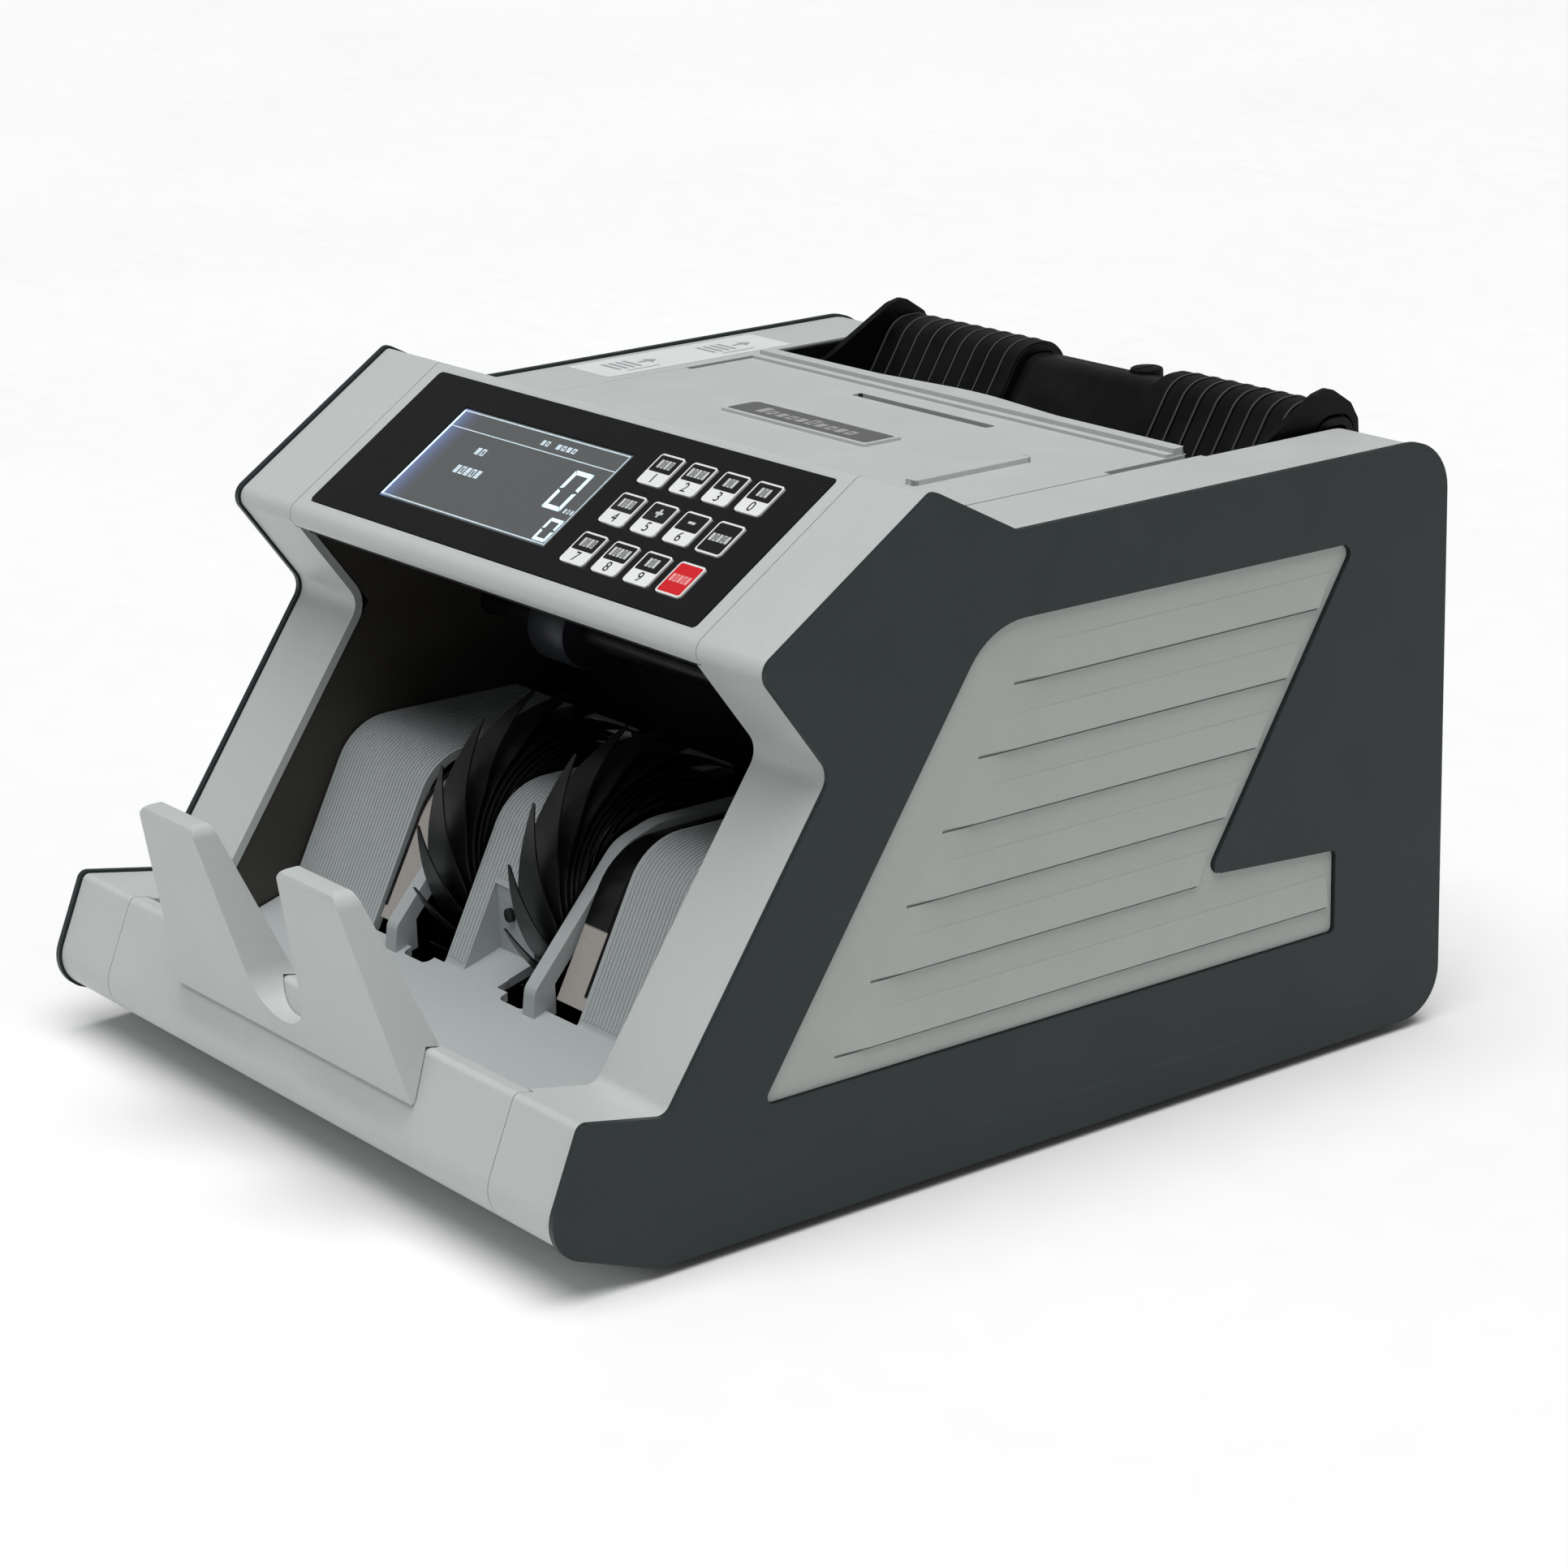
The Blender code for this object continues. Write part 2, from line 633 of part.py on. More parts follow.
def make_top_cover():
    """Top casing: side rails that turn down at the back, and a strip in front of the lid."""
    valley, rear = body_corner(VALLEY), body_corner(REAR_TOP)
    path = [(valley[0] + 0.4, valley[1], 0.0), rear, (rear[0], 150.4, 0.0)]
    cover = slab("top_cover", sheet(path, SHEET), -BODY_HALF, BODY_HALF, "X")
    lid_room = block("lid_room", (-LID_HALF - 0.5, LID_FRONT - 0.5, 140), (LID_HALF + 0.5, 120, 180), CUTTERS)
    well = block("hopper_room", (-HOPPER_HALF, 92.0, 140), (HOPPER_HALF, 165, 180), CUTTERS)
    cut(cover, lid_room, well)
    return paint(cover, "light_casing")


def make_rear_cover():
    """Flat back panel with the inlet's and the switch's windows and a row of vents."""
    switch_half = SWITCH_WINDOW / 2
    holes = [
        rectangle((INLET[0][0] - GAP, INLET[0][1] - GAP), (INLET[1][0] + GAP, INLET[1][1] + GAP)),
        rectangle((SWITCH_X[0] - 0.4, SWITCH_Z - switch_half), (SWITCH_X[1] + 0.4, SWITCH_Z + switch_half)),
    ]
    for column in range(VENT_COUNT):
        left = VENT_FIRST + column * VENT_PITCH
        holes.append(rectangle((left, VENT_Z[0]), (left + VENT_WIDTH, VENT_Z[1])))
    outline = rectangle((-BODY_HALF, BASE_LIP + 0.6), (BODY_HALF, 149.8))
    outer = BACK - REVEAL
    return paint(slab("rear_cover", outline, outer - SHEET, outer, "Y", holes=holes), "light_casing")


def make_base_plate():
    rear = body_corner(REAR_BASE)
    path = [(rear[0], BASE_LIP, 0.0), rear, (-117.0, rear[1], 0.0)]
    plate = slab("base_plate", sheet(path, 2.0), -BODY_HALF, BODY_HALF, "X")
    return paint(plate, "frame_steel")


def make_foot(name, x, y):
    profile = [(0, FOOT_HEIGHT), (FOOT_R, FOOT_HEIGHT), (FOOT_R, 1.0), (FOOT_R - 1.0, 0), (0, 0)]
    return paint(turned_piece(name, profile, (x, y, 0), "Z"), "rubber")


# ---------------------------------------------------------------- control panel

def key_spots():
    for row, names in enumerate(KEY_NAMES):
        for column, name in enumerate(names):
            yield name, KEY_COLUMNS[column], KEY_ROWS[row]


def key_outline(x, v, grow=0.0):
    half_u, half_v = KEY_WIDTH / 2 + grow, KEY_HEIGHT / 2 + grow
    return rectangle((x - half_u, v - half_v), (x + half_u, v + half_v), 1.2 + grow)


def make_key_panel():
    holes = [key_outline(x, v, GAP) for _, x, v in key_spots()]
    holes.append(rectangle((SCREEN_X[0], SCREEN_V[0]), (SCREEN_X[1], SCREEN_V[1])))
    outline = rectangle((-PANEL_HALF, PANEL_LOW), (PANEL_HALF, PANEL_HIGH), 1.5)
    return paint(slab("key_panel", outline, -1.8, 0.3, FACE, holes=holes), "panel_film")


def make_key(name, x, v):
    key = slab(f"key_{name}", key_outline(x, v), -3.2, 0.3 + KEY_RISE, FACE)
    centre = FACE @ Vector((x * MM, v * MM, 0))
    origin_at(key, centre / MM)
    colour = {"start": "red_key", "mode": "black_key"}.get(name, "white_key")
    return paint(key, colour)


def make_lcd_module():
    low = (SCREEN_X[0] + GAP, SCREEN_V[0] + GAP)
    high = (SCREEN_X[1] - GAP, SCREEN_V[1] - GAP)
    return paint(slab("lcd_module", rectangle(low, high), -5.8, 0.1, FACE), "screen_glass")


def make_control_board():
    return paint(slab("control_board", rectangle((-91, 12), (91, 61)), -8.1, -6.5, FACE), "board")


# ---------------------------------------------------------------- hopper

def make_hopper_tray():
    """The black well behind the lid: floor, side walls and a low back wall."""
    wall = [
        (58.0, 126.0, 0),
        (58.0, 168.2, 0),
        (92.6, 168.2, 0),
        (92.6, 171.0, 0),
        (151.0, 171.0, 13.0),
        (151.0, 126.0, 0),
    ]
    half = HOPPER_HALF - GAP
    tray = slab("hopper_tray", rounded(wall), -half, half, "X")
    back = 151.0 - TRAY_WALL
    inside = [
        (50.0, TRAY_FLOOR),
        (back, TRAY_FLOOR),
        (back, TRAY_REAR_TOP),
        (165.0, TRAY_REAR_TOP),
        (165.0, 200.0),
        (50.0, 200.0),
    ]
    cut(tray, slab("well", inside, TRAY_WALL - half, half - TRAY_WALL, "X", collection=CUTTERS))
    for side in (-1, 1):
        low, high = spread(side, *ROLLER_SLOT_X)
        cut(tray, block("roller_slot", (low, 90.0, 120), (high, 120.0, 135), CUTTERS))
    return paint(tray, "black_plastic")


def make_hopper_backrest():
    """The rest behind the notes, a sheet rolled over at its top, with a pocket for the knob."""
    half = HOPPER_HALF - TRAY_WALL - 2 * GAP
    rest = slab("hopper_backrest", sheet(BACKREST, 2.2), -half, half, "X")
    pocket = slab("knob_pocket", circle(KNOB_AXIS, KNOB_R + 0.8), 158.6, 190.0, "Z", collection=CUTTERS)
    return paint(cut(rest, pocket), "black_plastic")


def make_hopper_guide(side):
    """A sleeve over the backrest with a ribbed back, and the ear that stands beside the notes."""
    inner_face = inset(BACKREST, -0.4, closed=False)
    outer = inset(BACKREST, -2.8, closed=False)
    outer[0] = along(outer[0], outer[1], 9.0)
    outer[-1] = along(outer[-1], outer[-2], 4.0)
    low, high = spread(side, *SLEEVE_X)
    guide = slab(f"{side_name(side)}_hopper_guide", sheet(outer, 2.4), low, high, "X")
    around = inset(BACKREST, -0.9, closed=False)
    around[-1] = along(around[-1], around[-2], 5.0)
    edge = rounded(EAR, closed=False) + rounded(around, closed=False)[::-1]
    low, high = spread(side, *GUIDE_X)
    cut(guide, slab("ear", edge, low, high, "X", collection=CUTTERS), operation="UNION")
    for rib in range(SLEEVE_RIBS):
        place = SLEEVE_X[0] + 1.0 + rib * RIB_PITCH
        low, high = spread(side, place, place + RIB_WIDTH)
        raised = inset(outer, -RIB_RISE, closed=False)
        band = slab("rib", sheet(raised, 1.6), low, high, "X", collection=CUTTERS)
        cut(guide, band, operation="UNION")
    return paint(guide, "black_plastic")


def make_adjusting_knob():
    """Knob behind the backrest, whose stem comes up from the tray's back wall."""
    profile = [
        (0, KNOB_TOP),
        (KNOB_R - 0.5, KNOB_TOP),
        (KNOB_R, KNOB_TOP - 0.6),
        (KNOB_R, 165.0),
        (1.6, 165.0),
        (1.6, TRAY_REAR_TOP + GAP),
        (0, TRAY_REAR_TOP + GAP),
    ]
    return paint(turned_piece("adjusting_knob", profile, (*KNOB_AXIS, 0), "Z"), "black_plastic")


def make_retard_bridge():
    """The bridge over the feed drum, whose friction pads let one note through at a time."""
    section = [(62.5, 132, 2), (62.5, 165, 2), (86, 165, 4), (91, 152, 6), (80, 132, 4)]
    return paint(slab("retard_bridge", rounded(section), -90, 90, "X"), "black_plastic")


def make_lid():
    """The lid in front of the hopper, narrower at its rear, with a short ridge and a rear lip."""
    top = TOP - REVEAL
    rear_half = 94.8
    outline = [
        (-LID_HALF, LID_FRONT, 1.0),
        (-LID_HALF, 59.5, 0.5),
        (-rear_half, 59.5, 0.5),
        (-rear_half, LID_BACK, 1.0),
        (-40.0, LID_BACK + 0.4, 60.0),
        (0.0, LID_BACK + 5.0, 120.0),
        (40.0, LID_BACK + 0.4, 60.0),
        (rear_half, LID_BACK, 1.0),
        (rear_half, 59.5, 0.5),
        (LID_HALF, 59.5, 0.5),
        (LID_HALF, LID_FRONT, 1.0),
    ]
    lid = slab("lid", rounded(outline), top - SHEET, top, "Z")
    ridge = rectangle((RIDGE_END - RIDGE_WIDTH, RIDGE_FRONT), (RIDGE_END, RIDGE_BACK), 1.6)
    cut(lid, slab("ridge", ridge, top - 1, top + RIDGE_RISE, "Z", collection=CUTTERS), operation="UNION")
    lip = [
        (-94.3, 83.0, 0),
        (-94.3, 89.5, 1),
        (-40.0, 89.9, 60),
        (0.0, 94.5, 120),
        (40.0, 89.9, 60),
        (94.3, 89.5, 1),
        (94.3, 83.0, 0),
    ]
    cut(lid, slab("lip", rounded(lip), top - 1, top + 1.4, "Z", collection=CUTTERS), operation="UNION")
    finger_slot = rectangle((-30, 75.5), (30, 79.5), 1.0)
    cut(lid, slab("finger_slot", finger_slot, top - 1.2, top + 5, "Z", collection=CUTTERS))
    origin_at(lid, (0, LID_FRONT, top))
    return paint(lid, "light_casing")


# ---------------------------------------------------------------- frame and drive

def make_frame_plate(side):
    corners = inset(PROFILE, REVEAL + SHEET + 0.4)
    low_front, notch, brow = (corners[i] for i in (NOSE_BACK, NOTCH, BROW))
    up = Vector(brow[:2]) - Vector(notch[:2])
    top = 142.0
    reach = notch[0] + up.x * (top - notch[1]) / up.y
    outline = [
        (low_front[0], 8.0),
        low_front[:2],
        notch[:2],
        (reach, top),
        (52.0, top),
        (52.0, 125.2),
        (146.0, 125.2),
        (146.0, 8.0),
    ]
    axes = [STACKER_AXIS, EXIT_AXIS, FEED_AXIS, PICKUP_AXIS]
    holes = [circle(axis, SHAFT_HOLE_R) for axis in axes]
    motor = STACKER_MOTOR_AXIS if side > 0 else FEED_MOTOR_AXIS
    holes.append(circle(motor, MOTOR_BOSS_R + 0.5))
    low, high = spread(side, FRAME_INNER, FRAME_INNER + FRAME_SHEET)
    plate = slab(f"{side_name(side)}_frame_plate", outline, low, high, "X", holes=holes)
    return paint(plate, "frame_steel")


def make_motor(name, side, axis, radius, length):
    """Motor can with a boss through the frame plate and a bore for the pulley's stub."""
    face = FRAME_INNER - 0.4
    profile = [
        (0, MOTOR_END - 8),
        (2.4, MOTOR_END - 8),
        (2.4, MOTOR_END),
        (MOTOR_BOSS_R, MOTOR_END),
        (MOTOR_BOSS_R, face),
        (radius, face),
        (radius, face - length),
        (0, face - length),
    ]
    motor = turned_piece(name, mirrored(profile, side), (0, *axis))
    return paint(motor, "motor_steel")


def mirrored(profile, side):
    """The same profile for the left side: places change sign, and the order turns round."""
    if side > 0:
        return profile
    return [(radius, -place) for radius, place in reversed(profile)]


def pulley_profile(radius):
    """Pulley with two flanges, from its outer to its inner face."""
    inner, outer = PULLEY_X
    return [
        (radius + 1.6, outer),
        (radius + 1.6, outer - 1.2),
        (radius, outer - 1.2),
        (radius, inner + 1.2),
        (radius + 1.6, inner + 1.2),
        (radius + 1.6, inner),
    ]


def make_motor_pulley(name, side, axis):
    rim = pulley_profile(MOTOR_PULLEY_R)
    stub = [(2.0, PULLEY_X[0]), (2.0, MOTOR_END - 7.0), (0, MOTOR_END - 7.0)]
    profile = [(0, PULLEY_X[1]), *rim, *stub]
    return paint(turned_piece(name, mirrored(profile, side), (0, *axis)), "black_plastic")


def make_stacker_pulley():
    rim = pulley_profile(STACKER_PULLEY_R)
    bore = [(SHAFT_R + GAP, PULLEY_X[0]), (SHAFT_R + GAP, PULLEY_X[1])]
    pulley = turned_piece("stacker_pulley", [*rim, *bore], (0, *STACKER_AXIS), closed=True)
    return paint(pulley, "black_plastic")


def make_stacker_shaft():
    profile = [(0, 114.0), (SHAFT_R, 114.0), (SHAFT_R, -103.0), (0, -103.0)]
    return paint(turned_piece("stacker_shaft", profile, (0, *STACKER_AXIS)), "shaft_steel")


def make_feed_shaft():
    """Feed shaft, with the pulley that its belt runs on turned on its left end."""
    rim = [(radius, -place) for radius, place in reversed(pulley_profile(FEED_PULLEY_R))]
    profile = [(0, 103.0), (SHAFT_R, 103.0), (SHAFT_R, -PULLEY_X[0]), *rim, (0, -PULLEY_X[1])]
    return paint(turned_piece("feed_shaft", profile, (0, *FEED_AXIS)), "shaft_steel")


def make_feed_drum():
    """One sleeve on the feed shaft with two rubber-covered lands."""
    bore = SHAFT_R + GAP
    drum = [(20.0, 44), (20.0, 16), (16.0, 16), (16.0, -16), (20.0, -16), (20.0, -44)]
    profile = [*drum, (bore, -44), (bore, 44)]
    return paint(turned_piece("feed_drum", profile, (0, *FEED_AXIS), sides=24, closed=True), "rubber")


def roller_profile(land_radius, lands, shaft_radius, end):
    """A shaft with two raised lands, at the same distances on each side of the middle."""
    inner, outer = lands
    return [
        (0, end),
        (shaft_radius, end),
        (shaft_radius, outer),
        (land_radius, outer),
        (land_radius, inner),
        (shaft_radius, inner),
        (shaft_radius, -inner),
        (land_radius, -inner),
        (land_radius, -outer),
        (shaft_radius, -outer),
        (shaft_radius, -end),
        (0, -end),
    ]


def make_rollers():
    pickup_profile = roller_profile(17.0, (20, 40), SHAFT_R, 103)
    pickup = turned_piece("pickup_roller", pickup_profile, (0, *PICKUP_AXIS), sides=24)
    exit_profile = roller_profile(11.0, (46, 64), SHAFT_R, 103)
    exit_roller = turned_piece("exit_roller", exit_profile, (0, *EXIT_AXIS))
    return paint(pickup, "rubber"), paint(exit_roller, "rubber")


def blade_point(turn, share, outwards):
    """A point of one blade: it winds outwards from the disc, thinning and flaring towards its tip."""
    angle = turn + BLADE_SWEEP * share
    radius = WHEEL_DISC_R + BLADE_CLIMB * share + BLADE_FLARE * share ** BLADE_CURVE
    radius -= (0 if outwards else BLADE_WALL * (1 - 0.5 * share))
    y, z = STACKER_AXIS
    return Vector((y - radius * math.cos(angle), z + radius * math.sin(angle)))


def make_stacker_wheel(side):
    """Stacker wheel: nested curved blades round a disc, each narrowing to a point at its tip."""
    outline = []
    pitch = 2 * math.pi / WHEEL_BLADES
    for blade in range(WHEEL_BLADES):
        turn = blade * pitch + BLADE_PHASE
        for step in range(1, BLADE_STEPS + 1):
            outline.append(blade_point(turn, step / BLADE_STEPS, True))
        for step in range(BLADE_STEPS - 1, 0, -1):
            outline.append(blade_point(turn, step / BLADE_STEPS, False))
    low, high = spread(side, *WHEEL_X)
    bore = circle(STACKER_AXIS, SHAFT_R + GAP)
    wheel = slab(f"{side_name(side)}_stacker_wheel", outline, low, high, "X", holes=[bore])
    origin_at(wheel, ((low + high) / 2, *STACKER_AXIS))
    for vertex in wheel.data.vertices:
        radius = math.hypot(vertex.co.y, vertex.co.z) / MM
        if radius > BLADE_TAPER_R:
            vertex.co.x *= 1 - 0.85 * (radius - BLADE_TAPER_R) / (WHEEL_R - BLADE_TAPER_R)
    return paint(wheel, "black_plastic")


def make_belt(name, side, axis_a, radius_a, axis_b, radius_b):
    outer = belt_line(axis_a, radius_a + 2.3, axis_b, radius_b + 2.3)
    inner = belt_line(axis_a, radius_a + 0.8, axis_b, radius_b + 0.8)
    low, high = spread(side, PULLEY_X[0] + 1.6, PULLEY_X[1] - 1.6)
    return paint(slab(name, outer, low, high, "X", holes=[inner]), "rubber")


def make_upper_guide():
    """The black ceiling of the stacker mouth, and the wall behind it that the notes come out of."""
    guide = slab("upper_guide", sheet(CEILING, 2.0), -97.0, 97.0, "X")
    gap = block("note_gap", (-90.0, -10.0, NOTE_GAP_Z[0]), (90.0, 12.0, NOTE_GAP_Z[1]), CUTTERS)
    return paint(cut(guide, gap), "black_plastic")


def make_electrics():
    board = block("main_board", (-88, 40, 9), (14, 80, 10.6))
    transformer = block("transformer", (36, 78, 6.2), (92, 128, 50))
    return paint(board, "board"), paint(soften(transformer, 3.0), "motor_steel")


def make_power_inlet():
    """Mains inlet with an open socket towards the back."""
    inlet = slab("power_inlet", rectangle(*INLET), 132.0, BACK - 0.4, "Y")
    middle_x = (INLET[0][0] + INLET[1][0]) / 2
    middle_z = (INLET[0][1] + INLET[1][1]) / 2
    socket = [(-11.5, -7.5), (11.5, -7.5), (11.5, 3.0), (6.0, 7.5), (-6.0, 7.5), (-11.5, 3.0)]
    points = [(middle_x + u, middle_z + v) for u, v in socket]
    cut(inlet, slab("socket", points, 138.0, 170.0, "Y", collection=CUTTERS))
    return paint(inlet, "black_plastic")


def make_power_switch():
    """Rocker: two faces that meet in a shallow V, on a round back about its pivot."""
    points = [(154.3, SWITCH_Z - 4.4), (152.7, SWITCH_Z + 0.3), (152.2, SWITCH_Z + 6.4)]
    first, last = math.radians(62), math.radians(322)
    for step in range(9):
        angle = first + (last - first) * step / 8
        points.append((SWITCH_Y + 7.8 * math.cos(angle), SWITCH_Z + 7.8 * math.sin(angle)))
    rocker = slab("power_switch", points, *SWITCH_X, "X")
    origin_at(rocker, (0, SWITCH_Y, SWITCH_Z))
    return paint(rocker, "black_key")


# ---------------------------------------------------------------- build

def clear_scene():
    for obj in list(bpy.data.objects):
        bpy.data.objects.remove(obj)


def make_casing():
    for side in (-1, 1):
        make_side_cover(side)
        make_side_inlay(side)
        make_pillar(side)
    make_control_housing()
    make_front_cover()
    make_note_stopper()
    make_stacker_plate()
    make_top_cover()
    make_rear_cover()
    make_base_plate()
    for end, y in FOOT_Y.items():
        for side in (-1, 1):
            make_foot(f"{end}_{side_name(side)}_foot", side * FOOT_X, y)


def make_panel():
    make_key_panel()
    make_lcd_module()
    make_control_board()
    for name, x, v in key_spots():
        make_key(name, x, v)


def make_hopper():
    make_hopper_tray()
    make_hopper_backrest()
    make_adjusting_knob()
    make_retard_bridge()
    make_lid()
    for side in (-1, 1):
        make_hopper_guide(side)


def make_drive():
    for side in (-1, 1):
        make_frame_plate(side)
        make_stacker_wheel(side)
    make_stacker_shaft()
    make_stacker_pulley()
    make_motor("stacker_motor", 1, STACKER_MOTOR_AXIS, 18.0, 44.0)
    make_motor_pulley("stacker_motor_pulley", 1, STACKER_MOTOR_AXIS)
    make_belt("stacker_belt", 1, STACKER_AXIS, STACKER_PULLEY_R, STACKER_MOTOR_AXIS, MOTOR_PULLEY_R)
    make_feed_shaft()
    make_feed_drum()
    make_rollers()
    make_motor("feed_motor", -1, FEED_MOTOR_AXIS, 21.0, 48.0)
    make_motor_pulley("feed_motor_pulley", -1, FEED_MOTOR_AXIS)
    make_belt("feed_belt", -1, FEED_AXIS, FEED_PULLEY_R, FEED_MOTOR_AXIS, MOTOR_PULLEY_R)
    make_upper_guide()
    make_electrics()
    make_power_inlet()
    make_power_switch()


def hang_on_casing():
    """Parents every object to one empty, which holds the casing back by half the stopper's reach."""
    casing = add_object("casing", None, bpy.context.scene.collection)
    casing.location = (0, STOPPER_REACH / 2 * MM, 0)
    for collection in (PARTS, CUTTERS):
        for obj in collection.objects:
            obj.parent = casing


clear_scene()
PARTS = group("banknote_counting_machine")
CUTTERS = group("cutters", hidden=True)
FACE = face_frame()
make_casing()
make_panel()
make_hopper()
make_drive()
hang_on_casing()
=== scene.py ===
import json
import math

import bmesh
import bpy
from mathutils import Matrix, Vector

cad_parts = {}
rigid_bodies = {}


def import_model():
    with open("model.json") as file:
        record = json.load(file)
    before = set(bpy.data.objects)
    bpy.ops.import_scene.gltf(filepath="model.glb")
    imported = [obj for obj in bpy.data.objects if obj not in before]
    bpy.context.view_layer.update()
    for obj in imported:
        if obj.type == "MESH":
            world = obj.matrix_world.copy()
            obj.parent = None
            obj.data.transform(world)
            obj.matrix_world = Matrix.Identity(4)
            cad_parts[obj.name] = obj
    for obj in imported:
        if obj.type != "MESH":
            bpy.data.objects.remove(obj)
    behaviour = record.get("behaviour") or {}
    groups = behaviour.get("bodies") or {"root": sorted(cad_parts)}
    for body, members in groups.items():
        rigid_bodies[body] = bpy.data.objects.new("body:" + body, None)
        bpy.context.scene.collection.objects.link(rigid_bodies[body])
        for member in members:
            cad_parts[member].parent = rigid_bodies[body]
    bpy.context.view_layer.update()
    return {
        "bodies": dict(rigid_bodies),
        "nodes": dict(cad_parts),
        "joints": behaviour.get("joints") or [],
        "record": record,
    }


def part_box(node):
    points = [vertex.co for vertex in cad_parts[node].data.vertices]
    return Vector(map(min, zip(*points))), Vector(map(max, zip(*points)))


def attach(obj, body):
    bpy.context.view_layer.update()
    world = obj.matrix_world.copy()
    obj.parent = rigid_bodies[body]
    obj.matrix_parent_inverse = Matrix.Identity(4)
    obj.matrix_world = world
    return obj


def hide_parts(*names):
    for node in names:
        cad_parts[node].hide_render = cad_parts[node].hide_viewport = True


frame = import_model()

# Lengths are millimetres from the middle of the casing, as in the part's source; SHIFT moves them into the frame.
MM = 0.001
HALF_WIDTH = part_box("right_side_cover")[1].x / MM
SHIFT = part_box("right_side_cover")[1].y / MM - 155.0
FRONT, BACK, TOP = -155.0, 155.0, 172.3
COVER_WALL = 1.8
INLAY_DEPTH = 1.4
SHEET = 2.5
GAP = 0.3
LIP = 5.5
REVEAL = 0.8
BODY_HALF = HALF_WIDTH - COVER_WALL - GAP
MOUTH_HALF = 97.5
ARC_STEP = math.radians(7.5)

NOSE_FRONT, NOSE_TOP, NOSE_BACK, NOTCH, BROW, CREST, VALLEY, REAR_TOP, REAR_BASE, NOSE_BASE = range(10)
PROFILE = [
    (FRONT, 16.1, 11.0),
    (-141.5, 47.6, 3.0),
    (-115.7, 42.5, 4.0),
    (-61.5, 119.7, 6.0),
    (-83.4, 150.4, 5.0),
    (-27.3, 187.0, 3.0),
    (-0.1, TOP, 0.0),
    (BACK, TOP, 15.0),
    (BACK, 3.0, 14.0),
    (-120.5, 3.0, 6.0),
]
INLAY = [
    (-86.5, 37.6, 2.0),
    (-9.6, 148.7, 22.0),
    (119.7, 147.6, 2.5),
    (65.3, 64.0, 3.0),
    (113.3, 60.5, 1.5),
    (113.1, 36.8, 1.5),
]
SLAT_ROWS, SLAT_PITCH, SLAT_FIRST, SLAT_HEIGHT, SLAT_LEAN = 6, 17.45, 131.8, 9.0, 0.704
SLAT_RISE, SLAT_EASE = 1.15, 10.0

SEAM = 99.8
NOSE_LIP = 5.2
NOSE_WALL_FRONT = -135.4
STOPPER_REACH = 6.0
STOPPER_FRONT_VIEW = [
    (-61.3, 31.5, 0.0),
    (-51.0, 91.4, 6.0),
    (-22.5, 91.4, 5.0),
    (-12.6, 39.5, 14.0),
    (12.6, 39.5, 14.0),
    (22.5, 91.4, 5.0),
    (51.0, 91.4, 6.0),
    (61.3, 31.5, 0.0),
]
STOPPER_TOP, STOPPER_TOE, STOPPER_BACK, STOPPER_HEEL = 91.0, 14.4, -154.9, (-137.4, 47.2)

STACKER_PATH = [
    (-135.7, 42.7, 0.0),
    (-133.5, 25.0, 5.0),
    (-89.8, 38.1, 2.0),
    (-65.5, 85.0, 19.0),
    (-8.0, 84.6, 0.0),
]
RAMP_SLOT_X, FLOOR_SLOT_X, FIN_X = (13.5, 52.0), (18.5, 30.5), (32.3, 37.6)
FIN = [
    (-94.8, 34.3, 0.0),
    (-93.5, 44.2, 5.0),
    (-62.5, 79.0, 14.0),
    (-50.0, 82.8, 20.0),
    (-8.0, 82.9, 0.0),
    (-8.0, 79.6, 0.0),
    (-49.0, 79.4, 0.0),
    (-60.0, 75.5, 0.0),
    (-87.0, 45.0, 0.0),
    (-87.0, 36.6, 0.0),
]
RECESS_X = (-4.0, 13.5)
RECESS = [(-90.6, 38.0), (-77.5, 41.9), (-77.5, 61.0), (-90.6, 61.0)]
RECESS_SHELL = [(-92.0, 35.3), (-88.6, 37.6), (-75.2, 63.4), (-75.2, 39.7)]
CEILING = [(-76.0, 145.6, 0.0), (-8.0, 145.6, 8.0), (4.0, 126.0, 6.0), (4.0, 79.5, 0.0)]

PANEL_HALF, PANEL_LOW, PANEL_HIGH = 94.0, 7.5, 63.0
SCREEN_X, SCREEN_V = (-68.5, 15.4), (16.2, 53.3)
KEY_COLUMNS = [31.1 + 14.6 * column for column in range(4)]
KEY_ROWS = [50.4 - 15.45 * row for row in range(3)]
KEY_NAMES = [["1", "2", "3", "0"], ["4", "5", "6", "mode"], ["7", "8", "9", "start"]]
KEY_WIDTH, KEY_HEIGHT = 10.9, 11.2

LID_HALF, LID_FRONT, LID_BACK = 97.6, 8.6, 90.0
RIDGE_END, RIDGE_WIDTH, RIDGE_RISE = 72.0, 4.6, 1.4
RIDGE_FRONT, RIDGE_BACK = 12.5, 54.0
HOPPER_HALF = 100.0
BACKREST = [(114.0, 134.5, 0.0), (139.2, 173.6, 7.0), (150.4, 173.6, 5.0), (151.0, 160.5, 0.0)]
SLEEVE_X, GUIDE_X = (29.8, 95.0), (94.0, 96.7)
EAR = [
    (103.0, 136.0, 2.0),
    (105.0, 165.0, 3.0),
    (113.0, 168.0, 3.0),
    (137.0, 181.0, 4.0),
    (142.5, 182.2, 4.0),
    (150.3, 177.0, 2.0),
    (153.2, 172.0, 2.0),
    (153.6, 165.6, 0.0),
]


# ---------------------------------------------------------------- outlines

def left_of(direction):
    return Vector((-direction.y, direction.x))


